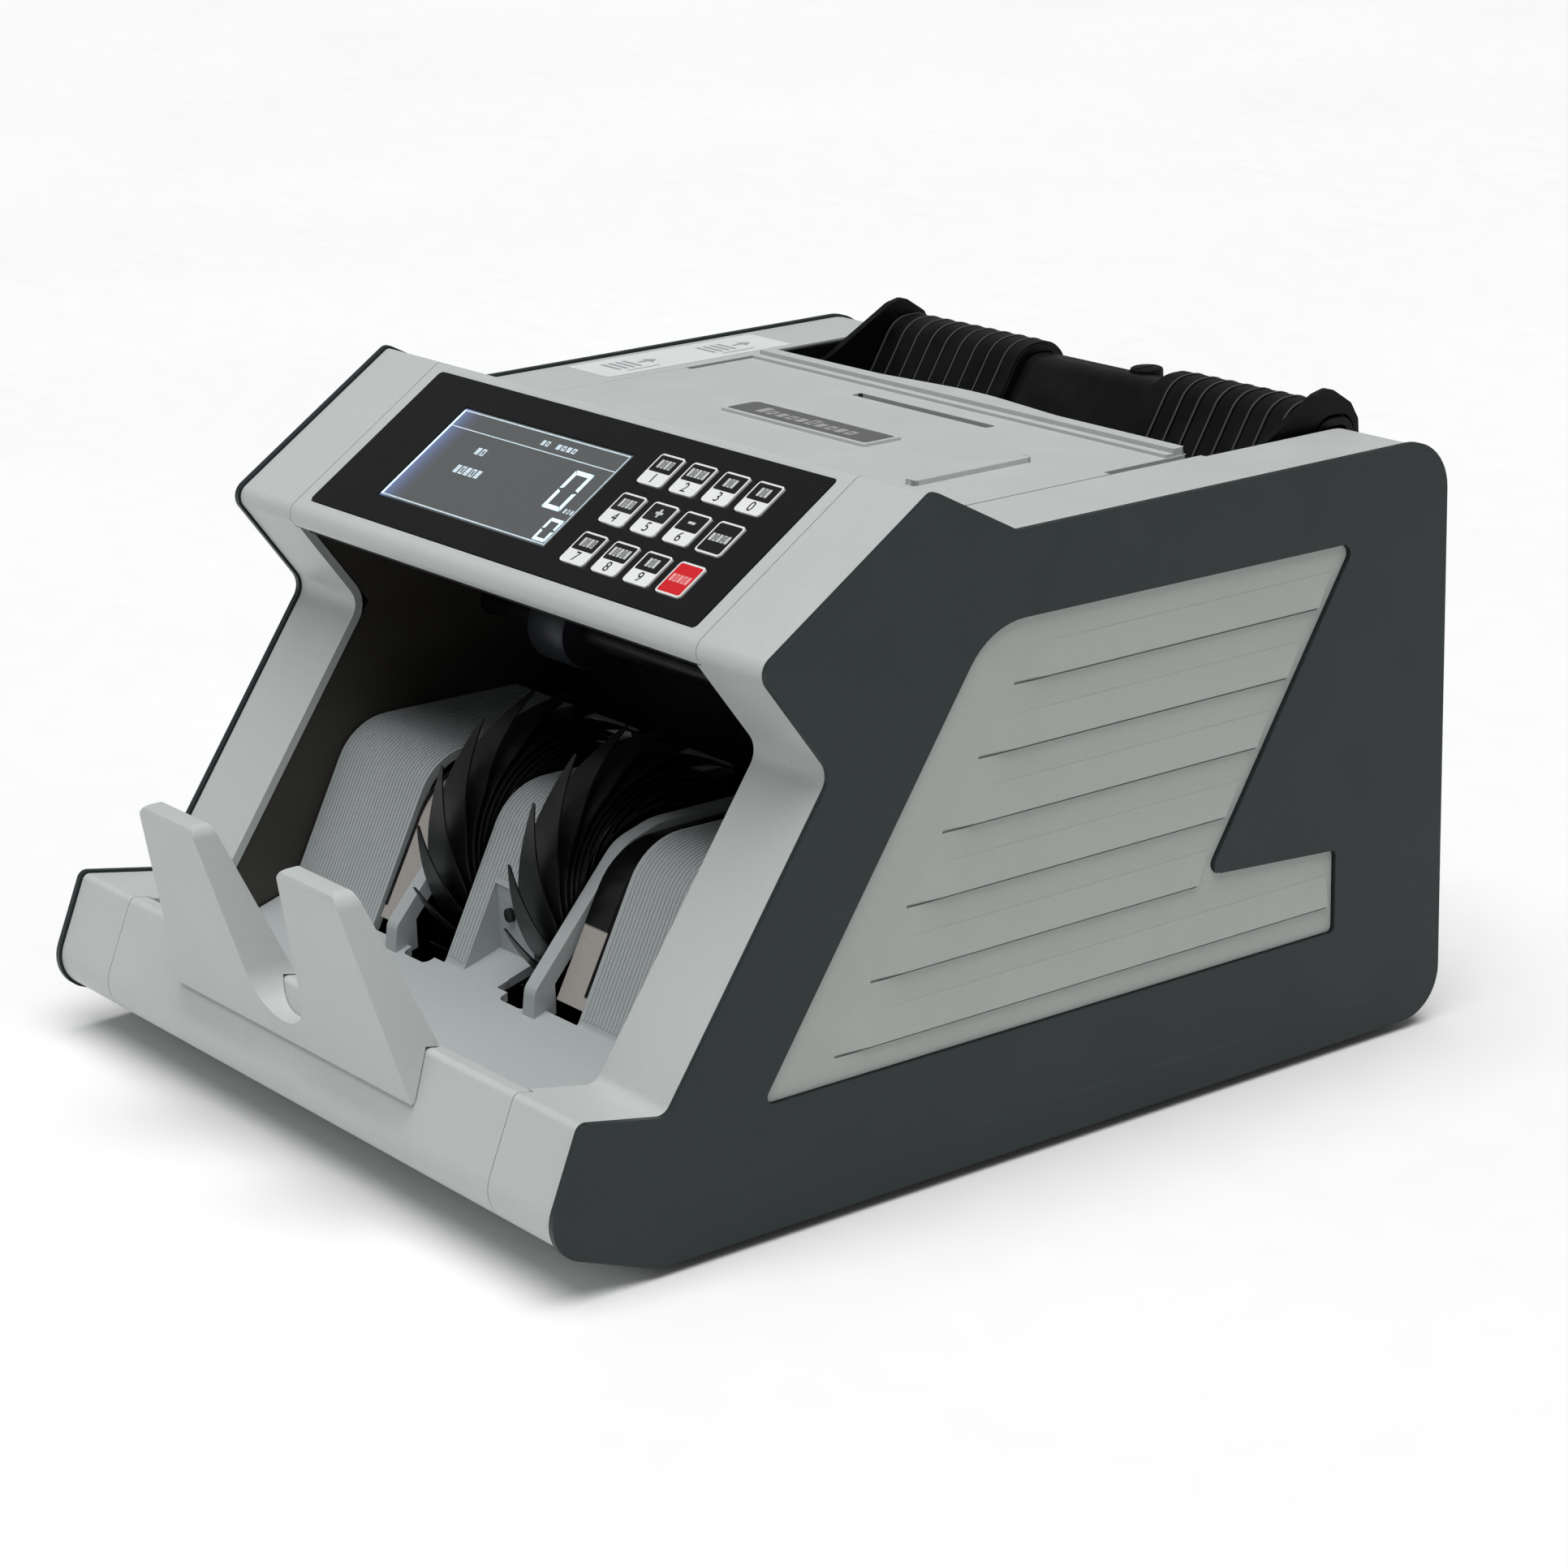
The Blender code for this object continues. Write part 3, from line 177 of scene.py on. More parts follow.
def meet(point_a, direction_a, point_b, direction_b):
    across = direction_a.x * direction_b.y - direction_a.y * direction_b.x
    between = point_b - point_a
    share = (between.x * direction_b.y - between.y * direction_b.x) / across
    return point_a + direction_a * share


def inset(corners, distance, closed=True):
    """Moves each edge to its right by the distance; a corner's radius follows its side."""
    points = [Vector(corner[:2]) for corner in corners]
    count = len(points)
    edges = [(points[(i + 1) % count] - points[i]).normalized() for i in range(count)]
    moved = []
    for i, corner in enumerate(corners):
        before, after = edges[i - 1], edges[i]
        if not closed and i == 0:
            before = after
        if not closed and i == count - 1:
            after = before
        turn = before.x * after.y - before.y * after.x
        start = points[i] - left_of(before) * distance
        if abs(turn) < 1e-6:
            spot = start
        else:
            spot = meet(start, before, points[i] - left_of(after) * distance, after)
        radius = corner[2] + distance * (1 if turn > 0 else -1) if corner[2] else 0.0
        moved.append((spot.x, spot.y, max(radius, 0.4) if corner[2] else 0.0))
    return moved


def rounded(corners, closed=True, step_angle=ARC_STEP):
    """The outline's points, with an arc of the given radius at each corner."""
    points = []
    count = len(corners)
    for i, (u, v, radius) in enumerate(corners):
        here = Vector((u, v))
        if not radius or (not closed and i in (0, count - 1)):
            points.append(here)
            continue
        before = (here - Vector(corners[i - 1][:2])).normalized()
        after = (Vector(corners[(i + 1) % count][:2]) - here).normalized()
        turn = math.atan2(before.x * after.y - before.y * after.x, before.dot(after))
        start = here - before * radius * math.tan(abs(turn) / 2)
        centre = start + left_of(before) * math.copysign(radius, turn)
        steps = max(1, math.ceil(abs(turn) / step_angle - 0.1))
        for step in range(steps + 1):
            spoke = start - centre
            spoke.rotate(Matrix.Rotation(turn * step / steps, 2))
            points.append(centre + spoke)
    return points


def sheet(path, thickness):
    inner = inset(path, thickness, closed=False)
    return rounded(path, closed=False) + rounded(inner, closed=False)[::-1]


def circle(centre, radius, sides=32):
    turns = [2 * math.pi * (i + 0.5) / sides for i in range(sides)]
    return [Vector(centre) + Vector((math.cos(a), math.sin(a))) * radius for a in turns]


def rectangle(low, high, radius=0.0):
    corners = [(low[0], low[1]), (high[0], low[1]), (high[0], high[1]), (low[0], high[1])]
    return rounded([(u, v, radius) for u, v in corners])


def body_corner(index):
    return inset(PROFILE, REVEAL)[index]


def along(start, end, distance):
    first, last = Vector(start[:2]), Vector(end[:2])
    spot = first + (last - first).normalized() * distance
    return (spot.x, spot.y, 0.0)


def side_name(side):
    return "right" if side > 0 else "left"


def spread(side, inner, outer):
    return (inner, outer) if side > 0 else (-outer, -inner)


# ---------------------------------------------------------------- solids

FRAMES = {
    "X": Matrix(((0, 0, 1), (1, 0, 0), (0, 1, 0))).to_4x4(),
    "Y": Matrix(((1, 0, 0), (0, 0, -1), (0, 1, 0))).to_4x4(),
    "Z": Matrix.Identity(4),
}


def face_frame():
    low, high = Vector(PROFILE[BROW][:2]), Vector(PROFILE[CREST][:2])
    up = (high - low).normalized()
    out = left_of(up)
    origin = low - out * REVEAL
    rotation = Matrix(((1, 0, 0), (0, up.x, out.x), (0, up.y, out.y))).to_4x4()
    return Matrix.Translation(Vector((0, origin.x, origin.y)) * MM) @ rotation


FACE = face_frame()


def add_object(name, mesh):
    obj = bpy.data.objects.new(name, mesh)
    bpy.context.scene.collection.objects.link(obj)
    return obj


def mesh_of(obj):
    """The object's shape with its modifiers, as a new mesh."""
    bpy.context.view_layer.update()
    evaluated = obj.evaluated_get(bpy.context.evaluated_depsgraph_get())
    return bpy.data.meshes.new_from_object(evaluated)


def discard(*objs):
    for obj in objs:
        bpy.data.objects.remove(obj)


def weld(mesh, distance=1e-6):
    shape = bmesh.new()
    shape.from_mesh(mesh)
    bmesh.ops.remove_doubles(shape, verts=shape.verts, dist=distance)
    bmesh.ops.recalc_face_normals(shape, faces=shape.faces)
    shape.to_mesh(mesh)
    shape.free()


def slab(name, outline, low, high, frame, holes=()):
    """A flat outline with holes, drawn out from low to high along its frame's third axis."""
    curve = bpy.data.curves.new(name, "CURVE")
    curve.dimensions = "2D"
    curve.fill_mode = "BOTH"
    curve.extrude = (high - low) / 2 * MM
    for points in [outline, *holes]:
        spline = curve.splines.new("POLY")
        spline.points.add(len(points) - 1)
        for point, spot in zip(spline.points, points):
            point.co = (spot[0] * MM, spot[1] * MM, 0, 1)
        spline.use_cyclic_u = True
    drawn = add_object(name + "_outline", curve)
    turned = FRAMES[frame] if isinstance(frame, str) else frame
    middle = (low + high) / 2 * MM * (-1 if frame == "Y" else 1)
    drawn.matrix_world = turned @ Matrix.Translation((0, 0, middle))
    mesh = mesh_of(drawn)
    mesh.name = name
    mesh.transform(drawn.matrix_world)
    weld(mesh)
    discard(drawn)
    return add_object(name, mesh)


def block(name, low, high):
    mesh = bpy.data.meshes.new(name)
    shape = bmesh.new()
    bmesh.ops.create_cube(shape, size=1.0)
    bmesh.ops.scale(shape, vec=(Vector(high) - Vector(low)) * MM, verts=shape.verts)
    bmesh.ops.translate(shape, vec=(Vector(low) + Vector(high)) / 2 * MM, verts=shape.verts)
    shape.to_mesh(mesh)
    shape.free()
    return add_object(name, mesh)


def hull(name, points):
    mesh = bpy.data.meshes.new(name)
    shape = bmesh.new()
    for point in points:
        shape.verts.new(Vector(point) * MM)
    bmesh.ops.convex_hull(shape, input=shape.verts)
    bmesh.ops.recalc_face_normals(shape, faces=shape.faces)
    shape.to_mesh(mesh)
    shape.free()
    return add_object(name, mesh)


def turned_piece(name, profile, centre, axis="X", sides=48, closed=False):
    """A turned shape: (radius, place along the axis) down its outer side, from high to low."""
    mesh = bpy.data.meshes.new(name)
    shape = bmesh.new()
    points = [shape.verts.new((radius * MM, 0, place * MM)) for radius, place in profile]
    for first, second in zip(points, points[1:]):
        shape.edges.new((first, second))
    if closed:
        shape.edges.new((points[-1], points[0]))
    shape.to_mesh(mesh)
    shape.free()
    obj = add_object(name, mesh)
    screw = obj.modifiers.new("Turn", "SCREW")
    screw.steps = sides
    screw.render_steps = sides
    screw.use_merge_vertices = True
    screw.merge_threshold = 1e-6
    made = mesh_of(obj)
    turn = {"X": Matrix.Rotation(math.pi / 2, 4, "Y"), "Y": Matrix.Rotation(-math.pi / 2, 4, "X")}
    made.transform(Matrix.Translation(Vector(centre) * MM) @ turn.get(axis, Matrix.Identity(4)))
    weld(made)
    discard(obj)
    return add_object(name, made)


def cut(obj, *cutters, operation="DIFFERENCE"):
    """Cuts each cutter out of the object, or joins or keeps it, and discards the cutters."""
    for cutter in cutters:
        boolean = obj.modifiers.new(cutter.name, "BOOLEAN")
        boolean.operation = operation
        boolean.object = cutter
        boolean.solver = "EXACT"
    made = mesh_of(obj)
    made.name = obj.name
    obj.modifiers.clear()
    obj.data = made
    discard(*cutters)
    return obj


def join(name, objs):
    """One object of several, each keeping its own materials."""
    with bpy.context.temp_override(active_object=objs[0], selected_editable_objects=objs):
        bpy.ops.object.join()
    objs[0].name = name
    objs[0].data.name = name
    return objs[0]


def copies(obj, offsets):
    """Repeats the object's mesh at each offset, as one mesh."""
    shape = bmesh.new()
    for offset in offsets:
        first = len(shape.verts)
        shape.from_mesh(obj.data)
        shape.verts.ensure_lookup_table()
        bmesh.ops.translate(shape, vec=Vector(offset) * MM, verts=shape.verts[first:])
    shape.to_mesh(obj.data)
    shape.free()
    return obj


def smooth(obj, angle=32.0):
    shape = bmesh.new()
    shape.from_mesh(obj.data)
    limit = math.radians(angle)
    for face in shape.faces:
        face.smooth = True
    for edge in shape.edges:
        edge.smooth = len(edge.link_faces) == 2 and edge.calc_face_angle(0.0) < limit
    shape.to_mesh(obj.data)
    shape.free()


def soften(obj, width, segments=3, angle=32.0):
    """Rounds the sharp edges, with shading that keeps the flats flat."""
    for face in obj.data.polygons:
        face.use_smooth = True
    bevel = obj.modifiers.new("Soft edges", "BEVEL")
    bevel.width = width * MM
    bevel.segments = segments
    bevel.limit_method = "ANGLE"
    bevel.angle_limit = math.radians(angle)
    bevel.use_clamp_overlap = True
    weighted = obj.modifiers.new("Flat shading", "WEIGHTED_NORMAL")
    weighted.keep_sharp = True
    return obj


def piece(obj, body, look, stands_for=(), width=0.6, segments=3, angle=32.0):
    """Finishes a piece: its look, its rounded edges, its place in the frame and the body it rides on."""
    obj.data.transform(Matrix.Translation((0, SHIFT * MM, 0)) @ obj.matrix_world)
    obj.matrix_world = Matrix.Identity(4)
    if look:
        obj.data.materials.clear()
        obj.data.materials.append(LOOKS[look])
    if width:
        soften(obj, width, segments, angle)
    else:
        smooth(obj, angle)
    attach(obj, body)
    if stands_for:
        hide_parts(*stands_for)
    return obj


def dress(obj, look):
    obj.data.materials.clear()
    obj.data.materials.append(LOOKS[look])
    return obj


# ---------------------------------------------------------------- materials

class Look:
    """A material under construction: places nodes and links them by name."""

    def __init__(self, name):
        self.material = bpy.data.materials.new(name)
        self.material.use_nodes = True
        self.nodes = self.material.node_tree.nodes
        self.links = self.material.node_tree.links
        self.shader = self.nodes["Principled BSDF"]
        self.coordinates = self.nodes.new("ShaderNodeTexCoord").outputs["Object"]

    def noise(self, scale, detail=3.0, rough=0.5, stretch=None):
        node = self.nodes.new("ShaderNodeTexNoise")
        node.inputs["Scale"].default_value = scale
        node.inputs["Detail"].default_value = detail
        node.inputs["Roughness"].default_value = rough
        source = self.coordinates
        if stretch:
            mapping = self.nodes.new("ShaderNodeMapping")
            mapping.inputs["Scale"].default_value = stretch
            self.links.new(source, mapping.inputs["Vector"])
            source = mapping.outputs["Vector"]
        self.links.new(source, node.inputs["Vector"])
        return node.outputs["Fac"]

    def span(self, value, low, high, out_low=0.0, out_high=1.0):
        node = self.nodes.new("ShaderNodeMapRange")
        for name, number in (
            ("From Min", low),
            ("From Max", high),
            ("To Min", out_low),
            ("To Max", out_high),
        ):
            node.inputs[name].default_value = number
        self.links.new(value, node.inputs["Value"])
        return node.outputs["Result"]

    def mix(self, factor, first, second, blend="MIX"):
        node = self.nodes.new("ShaderNodeMix")
        node.data_type = "RGBA"
        node.blend_type = blend
        for socket, value in ((node.inputs[0], factor), (node.inputs[6], first), (node.inputs[7], second)):
            if isinstance(value, bpy.types.NodeSocket):
                self.links.new(value, socket)
            elif isinstance(value, tuple):
                socket.default_value = (*value, 1.0)
            else:
                socket.default_value = value
        return node.outputs[2]

    def pointy_edges(self, low, high):
        geometry = self.nodes.new("ShaderNodeNewGeometry")
        return self.span(geometry.outputs["Pointiness"], low, high)

    def multiply(self, first, second):
        node = self.nodes.new("ShaderNodeMath")
        node.operation = "MULTIPLY"
        for socket, value in zip(node.inputs, (first, second)):
            if isinstance(value, bpy.types.NodeSocket):
                self.links.new(value, socket)
            else:
                socket.default_value = value
        return node.outputs[0]

    def bump(self, height, distance, strength=1.0, base=None):
        node = self.nodes.new("ShaderNodeBump")
        node.inputs["Distance"].default_value = distance * MM
        node.inputs["Strength"].default_value = strength
        self.links.new(height, node.inputs["Height"])
        if base:
            self.links.new(base, node.inputs["Normal"])
        return node.outputs["Normal"]

    def plug(self, name, source):
        if isinstance(source, bpy.types.NodeSocket):
            self.links.new(source, self.shader.inputs[name])
        else:
            self.shader.inputs[name].default_value = source


def moulded(name, colour, roughness, grain=0.05, edge_wear_and_highlight=None, mottle=0.05, spread_of_roughness=0.06, shine=0.5):
    """Moulded plastic: fine spark-eroded grain, uneven gloss, slight mottling, and paler edges that are partly wear and
    partly painted highlight.
    """
    look = Look(name)
    mottled = look.span(look.noise(14.0, 4.0), 0.3, 0.7)
    darker = tuple(c * (1 - mottle) for c in colour)
    lighter = tuple(min(1.0, c * (1 + mottle)) for c in colour)
    base = look.mix(mottled, darker, lighter)
    dusty = look.span(look.noise(900.0, 2.0), 0.35, 0.65)
    base = look.mix(look.multiply(dusty, 0.05), base, tuple(min(1.0, c * 1.6 + 0.01) for c in colour))
    # Paler sharp edges, found by pointiness: partly edge wear, partly a painted highlight along the rims.
    if edge_wear_and_highlight:
        patches = look.span(look.noise(60.0, 4.0), 0.42, 0.62)
        edges = look.multiply(look.pointy_edges(0.515, 0.56), patches)
        base = look.mix(look.multiply(edges, 0.15), base, edge_wear_and_highlight)
    look.plug("Base Color", base)
    gloss = look.span(look.noise(45.0, 5.0, 0.6), 0.3, 0.7)
    look.plug(
        "Roughness",
        look.span(gloss, 0.0, 1.0, roughness - spread_of_roughness, roughness + spread_of_roughness),
    )
    if grain:
        fine = look.noise(1700.0, 2.0, 0.6)
        look.plug("Normal", look.bump(fine, grain, 0.5))
    look.plug("Specular IOR Level", shine)
    return look.material


def metal(name, colour, roughness, stretch, metallic=1.0, grime=(0.1, 0.09, 0.08)):
    """Sheet or turned metal with fine lines along one direction and slight stains."""
    look = Look(name)
    lines = look.noise(90.0, 6.0, 0.65, stretch)
    stains = look.span(look.noise(28.0, 5.0, 0.6), 0.45, 0.75)
    base = look.mix(
        look.span(lines, 0.3, 0.7),
        tuple(c * 0.9 for c in colour),
        tuple(min(1.0, c * 1.06) for c in colour),
    )
    base = look.mix(look.multiply(stains, 0.25), base, grime)
    look.plug("Base Color", base)
    look.plug("Roughness", look.span(lines, 0.3, 0.7, roughness - 0.07, roughness + 0.09))
    look.plug("Metallic", metallic)
    look.plug("Normal", look.bump(lines, 0.02, 0.35))
    return look.material


def glowing(name, colour, strength):
    look = Look(name)
    flicker = look.span(look.noise(1200.0, 1.0), 0.3, 0.7)
    base = look.mix(flicker, tuple(c * 0.8 for c in colour), colour)
    look.plug("Base Color", base)
    look.plug("Roughness", look.span(look.noise(300.0), 0.3, 0.7, 0.25, 0.4))
    look.plug("Emission Color", base)
    look.plug("Emission Strength", strength)
    return look.material


def screen_look():
    """Switched-on display: dark grey, brighter and bluer towards its left edge."""
    look = Look("Screen")
    split = look.nodes.new("ShaderNodeSeparateXYZ")
    look.links.new(look.coordinates, split.inputs[0])
    left = look.span(split.outputs["X"], (SCREEN_X[0] + 14.0) * MM, (SCREEN_X[0] + 1.0) * MM)
    power = look.nodes.new("ShaderNodeMath")
    power.operation = "POWER"
    power.inputs[1].default_value = 2.6
    look.links.new(left, power.inputs[0])
    cells = look.span(look.noise(2600.0, 1.0), 0.3, 0.7, 0.9, 1.0)
    base = look.mix(power.outputs[0], (0.055, 0.058, 0.06), (0.1, 0.13, 0.25))
    look.plug("Base Color", base)
    look.plug("Emission Color", base)
    look.plug("Emission Strength", look.multiply(cells, 0.7))
    look.plug("Roughness", look.span(look.noise(40.0, 4.0), 0.3, 0.7, 0.1, 0.2))
    look.plug("Coat Weight", 0.3)
    return look.material


def board_look():
    look = Look("Circuit board")
    brick = look.nodes.new("ShaderNodeTexVoronoi")
    brick.inputs["Scale"].default_value = 260.0
    brick.distance = "CHEBYCHEV"
    look.links.new(look.coordinates, brick.inputs["Vector"])
    tracks = look.span(brick.outputs["Distance"], 0.28, 0.34)
    base = look.mix(tracks, (0.02, 0.15, 0.06), (0.012, 0.09, 0.04))
    look.plug("Base Color", base)
    look.plug("Roughness", look.span(look.noise(120.0), 0.3, 0.7, 0.3, 0.5))
    look.plug("Normal", look.bump(tracks, 0.05, 0.4))
    return look.material


LOOKS = {
    "light": moulded(
        "Light casing",
        (0.455, 0.48, 0.465),
        0.4,
        edge_wear_and_highlight=(0.56, 0.58, 0.57),
        mottle=0.012,
        spread_of_roughness=0.03,
    ),
    "dark": moulded(
        "Dark side casing",
        (0.015, 0.0225, 0.0235),
        0.4,
        grain=0.06,
        edge_wear_and_highlight=(0.05, 0.065, 0.065),
        shine=0.28,
    ),
    # A lighter copy of the dark casing for the cover's rounded edges: a painted highlight.
    "dark_edge_highlight": moulded("Dark casing with painted edge highlight", (0.045, 0.056, 0.058), 0.36, grain=0.04, mottle=0.15, shine=0.4),
    "inlay": moulded(
        "Side inlay",
        (0.35, 0.376, 0.355),
        0.52,
        grain=0.06,
        edge_wear_and_highlight=(0.42, 0.44, 0.42),
        mottle=0.012,
        spread_of_roughness=0.025,
    ),
    "bed": moulded(
        "Note bed",
        (0.37, 0.395, 0.4),
        0.5,
        grain=0.04,
        edge_wear_and_highlight=(0.46, 0.48, 0.48),
        mottle=0.015,
        spread_of_roughness=0.03,
    ),
    "black": moulded(
        "Black plastic",
        (0.0025, 0.0025, 0.0028),
        0.4,
        grain=0.03,
        edge_wear_and_highlight=(0.03, 0.03, 0.03),
        mottle=0.12,
        shine=0.11,
    ),
    "satin": moulded(
        "Satin black moulding",
        (0.003, 0.003, 0.0034),
        0.34,
        grain=0.02,
        edge_wear_and_highlight=(0.07, 0.07, 0.07),
        shine=0.13,
    ),
    "blade": moulded(
        "Black blades",
        (0.0035, 0.0035, 0.004),
        0.36,
        grain=0.02,
        edge_wear_and_highlight=(0.06, 0.062, 0.07),
        shine=0.28,
    ),
    # Lighter grey for the crests of the hopper guide bands: a painted highlight on black plastic.
    "ridge": moulded("Black ridge with painted highlight", (0.05, 0.05, 0.05), 0.34, grain=0.0, mottle=0.2, shine=0.5),
    # Dull near-black for the guide deep in the mouth: partly black plastic, partly painted shade of the interior.
    "black_with_painted_shade": moulded("Black plastic with painted shade", (0.003, 0.003, 0.0033), 0.6, grain=0.03, mottle=0.2, shine=0.15),
    "film": moulded("Panel film", (0.004, 0.004, 0.0043), 0.22, grain=0.01, mottle=0.06, shine=0.27),
    "glass": screen_look(),
    "glow": glowing("Screen marks", (0.6, 0.8, 0.9), 0.75),
    "frame_line": glowing("Screen border", (0.5, 0.6, 0.66), 0.35),
    "print_white": moulded("White print", (0.72, 0.73, 0.725), 0.4, grain=0.0, mottle=0.02),
    "print_dim": moulded("Dim print", (0.5, 0.51, 0.51), 0.4, grain=0.0, mottle=0.1),
    "print_pink": moulded("Pink print", (0.75, 0.3, 0.3), 0.4, grain=0.0, mottle=0.1),
    "print_black": moulded("Black print", (0.006, 0.006, 0.0065), 0.3, grain=0.0, mottle=0.05, shine=0.3),
    "print_grey": moulded("Grey print", (0.3, 0.31, 0.31), 0.5, grain=0.0),
    "red": moulded("Red key", (0.56, 0.012, 0.018), 0.34, grain=0.01, mottle=0.04, shine=0.3),
    "wall": metal(
        "Frame plate",
        (0.05, 0.045, 0.038),
        0.5,
        (1.0, 0.15, 1.0),
        metallic=0.2,
        grime=(0.025, 0.023, 0.021),
    ),
    "zinc": metal("Zinc plated steel", (0.5, 0.51, 0.52), 0.38, (1.0, 0.1, 1.0)),
    "shaft": metal("Ground shaft", (0.62, 0.63, 0.64), 0.22, (6.0, 0.6, 0.6)),
    "blued": metal("Blackened shaft", (0.012, 0.012, 0.013), 0.35, (6.0, 0.6, 0.6), metallic=0.6),
    "exit_rubber": moulded(
        "Worn exit roller",
        (0.02, 0.023, 0.028),
        0.42,
        grain=0.04,
        mottle=0.15,
        shine=0.5,
    ),
    "stainless": moulded("Stainless strip", (0.36, 0.335, 0.31), 0.28, grain=0.0, mottle=0.04, shine=0.8),
    "badge": moulded("Badge field", (0.105, 0.105, 0.105), 0.4, grain=0.02, mottle=0.05),
    "badge_rim": moulded("Badge rim", (0.5, 0.51, 0.51), 0.35, grain=0.0, mottle=0.03),
    "badge_mark": moulded("Badge print", (0.32, 0.32, 0.32), 0.4, grain=0.0, mottle=0.08),
    "rubber": moulded("Rubber", (0.012, 0.012, 0.012), 0.72, grain=0.12, mottle=0.2, shine=0.3),
    "label": moulded("Paper label", (0.66, 0.67, 0.67), 0.42, grain=0.01, mottle=0.01),
    "board": board_look(),
}


# ---------------------------------------------------------------- casing

def make_side_cover(side):
    low, high = spread(side, HALF_WIDTH - COVER_WALL, HALF_WIDTH)
    name = f"{side_name(side)}_side_cover"
    cover = slab(name + "_shell", rounded(PROFILE), low, high, "X", holes=[rounded(inset(INLAY, -GAP))])
    piece(cover, "housing", "dark", [name], width=0.9, segments=4)
    # The rounded bevels take a lighter copy of the dark casing, a painted highlight along the cover's edges.
    cover.data.materials.append(LOOKS["dark_edge_highlight"])
    cover.modifiers["Soft edges"].material = 1


def inlay_rear(z):
    top, notch, arm = INLAY[2], INLAY[3], INLAY[4]
    if z < arm[1]:
        return arm[0] - 2.2
    share = (max(z, notch[1]) - notch[1]) / (top[1] - notch[1])
    return notch[0] + (top[0] - notch[0]) * share - 3.2


def make_side_inlay(side):
    """The light inlay, drawn for the right and mirrored for the left; its slats rise to a ledge at their foot."""
    name = f"{side_name(side)}_side_inlay"
    face = HALF_WIDTH - INLAY_DEPTH
    inlay = slab(name + "_shell", rounded(INLAY), BODY_HALF - 0.6, face, "X")
    flange = slab("flange", rounded(inset(INLAY, -3.0)), BODY_HALF - 2.0, BODY_HALF, "X")
    cut(inlay, flange, operation="UNION")
    for row in range(SLAT_ROWS):
        ledge = SLAT_FIRST - SLAT_PITCH * row
        line = ledge + SLAT_HEIGHT
        front = -0.4 - (SLAT_FIRST - ledge) * SLAT_LEAN
        corners = []
        for rise, z in ((0.1, line), (SLAT_RISE, ledge), (-0.5, ledge), (-0.5, line)):
            start = front + (z - ledge) * SLAT_LEAN
            corners.append((face + min(rise, 0.0), start, z))
            corners.append((face + rise, start + (SLAT_EASE if rise > 0 else 0.0), z))
            corners.append((face + rise, inlay_rear(max(z, ledge)), z))
        cut(inlay, hull("slat", corners), operation="UNION")
        groove = rectangle((front - 0.7, ledge - 0.7), (inlay_rear(ledge) + 0.5, ledge + 0.13), 0.35)
        cut(inlay, slab("groove", groove, face - 0.6, HALF_WIDTH + 2.0, "X"))
    if side < 0:
        inlay.data.transform(Matrix.Scale(-1.0, 4, (1.0, 0.0, 0.0)))
        inlay.data.flip_normals()
    piece(inlay, "housing", "inlay", [name], width=0.22, segments=2)


def make_control_housing():
    brow = body_corner(BROW)
    path = [
        along(brow, body_corner(NOTCH), LIP),
        brow,
        body_corner(CREST),
        along(body_corner(VALLEY), body_corner(CREST), 0.4),
    ]
    half = SEAM - GAP
    housing = slab("control_housing_shell", sheet(path, SHEET), -half, half, "X")
    low = (-PANEL_HALF - GAP, PANEL_LOW - GAP)
    high = (PANEL_HALF + GAP, PANEL_HIGH + GAP)
    cut(housing, slab("panel_window", rectangle(low, high, 1.6), -5.0, 2.0, FACE))
    piece(housing, "housing", "light", ["control_housing"], width=0.35, segments=2)


def make_pillar(side):
    """Front pillar that goes on up beside the control face, with its end of the nose."""
    name = f"{side_name(side)}_pillar"
    corners = [body_corner(i) for i in (NOSE_BASE, NOSE_FRONT, NOSE_TOP, NOSE_BACK, NOTCH, BROW, CREST)]
    corners[0] = (corners[0][0] + 1.5, corners[0][1], 0.0)
    path = [*corners, along(body_corner(VALLEY), body_corner(CREST), 0.4)]
    low, high = spread(side, MOUTH_HALF, BODY_HALF)
    pillar = slab(name + "_shell", sheet(path, SHEET), low, high, "X")
    lip_end = Vector(along(body_corner(BROW), body_corner(NOTCH), LIP + 0.5)[:2])
    outwards = left_of(Vector(body_corner(BROW)[:2]) - Vector(body_corner(NOTCH)[:2])).normalized()
    front, back = lip_end + outwards * 8.0, lip_end - outwards * 8.0
    housing_seat = [front, back, (20.0, back.y), (20.0, 200.0), (front.x, 200.0)]
    nose_seat = [
        (FRONT - 5.0, 0.0),
        (-105.0, 0.0),
        (-105.0, 17.0),
        (NOSE_WALL_FRONT, 17.0),
        (NOSE_WALL_FRONT, 60.0),
        (FRONT - 5.0, 60.0),
    ]
    low, high = spread(side, MOUTH_HALF - 2.0, SEAM)
    for seat in (housing_seat, nose_seat):
        cut(pillar, slab("seat", seat, low, high, "X"))
    low, high = spread(side, MOUTH_HALF + 0.2, MOUTH_HALF + 2.0)
    wall = [(-135.0, 18.0), (-135.0, 44.0), (-117.0, 40.6), (-114.6, 41.2), (-114.6, 18.0)]
    cut(pillar, slab("nose_wall", wall, low, high, "X"), operation="UNION")
    piece(pillar, "housing", "light", [name], width=0.9, segments=4)


def make_front_cover():
    corners = [body_corner(i) for i in (NOSE_BASE, NOSE_FRONT, NOSE_TOP, NOSE_BACK)]
    corners[0] = (corners[0][0] + 1.5, corners[0][1], 0.0)
    corners[3] = along(corners[2], corners[3], NOSE_LIP)
    half = SEAM - GAP
    cover = slab("front_cover_shell", sheet(corners, SHEET), -half, half, "X")
    piece(cover, "housing", "light", ["front_cover"], width=0.45)


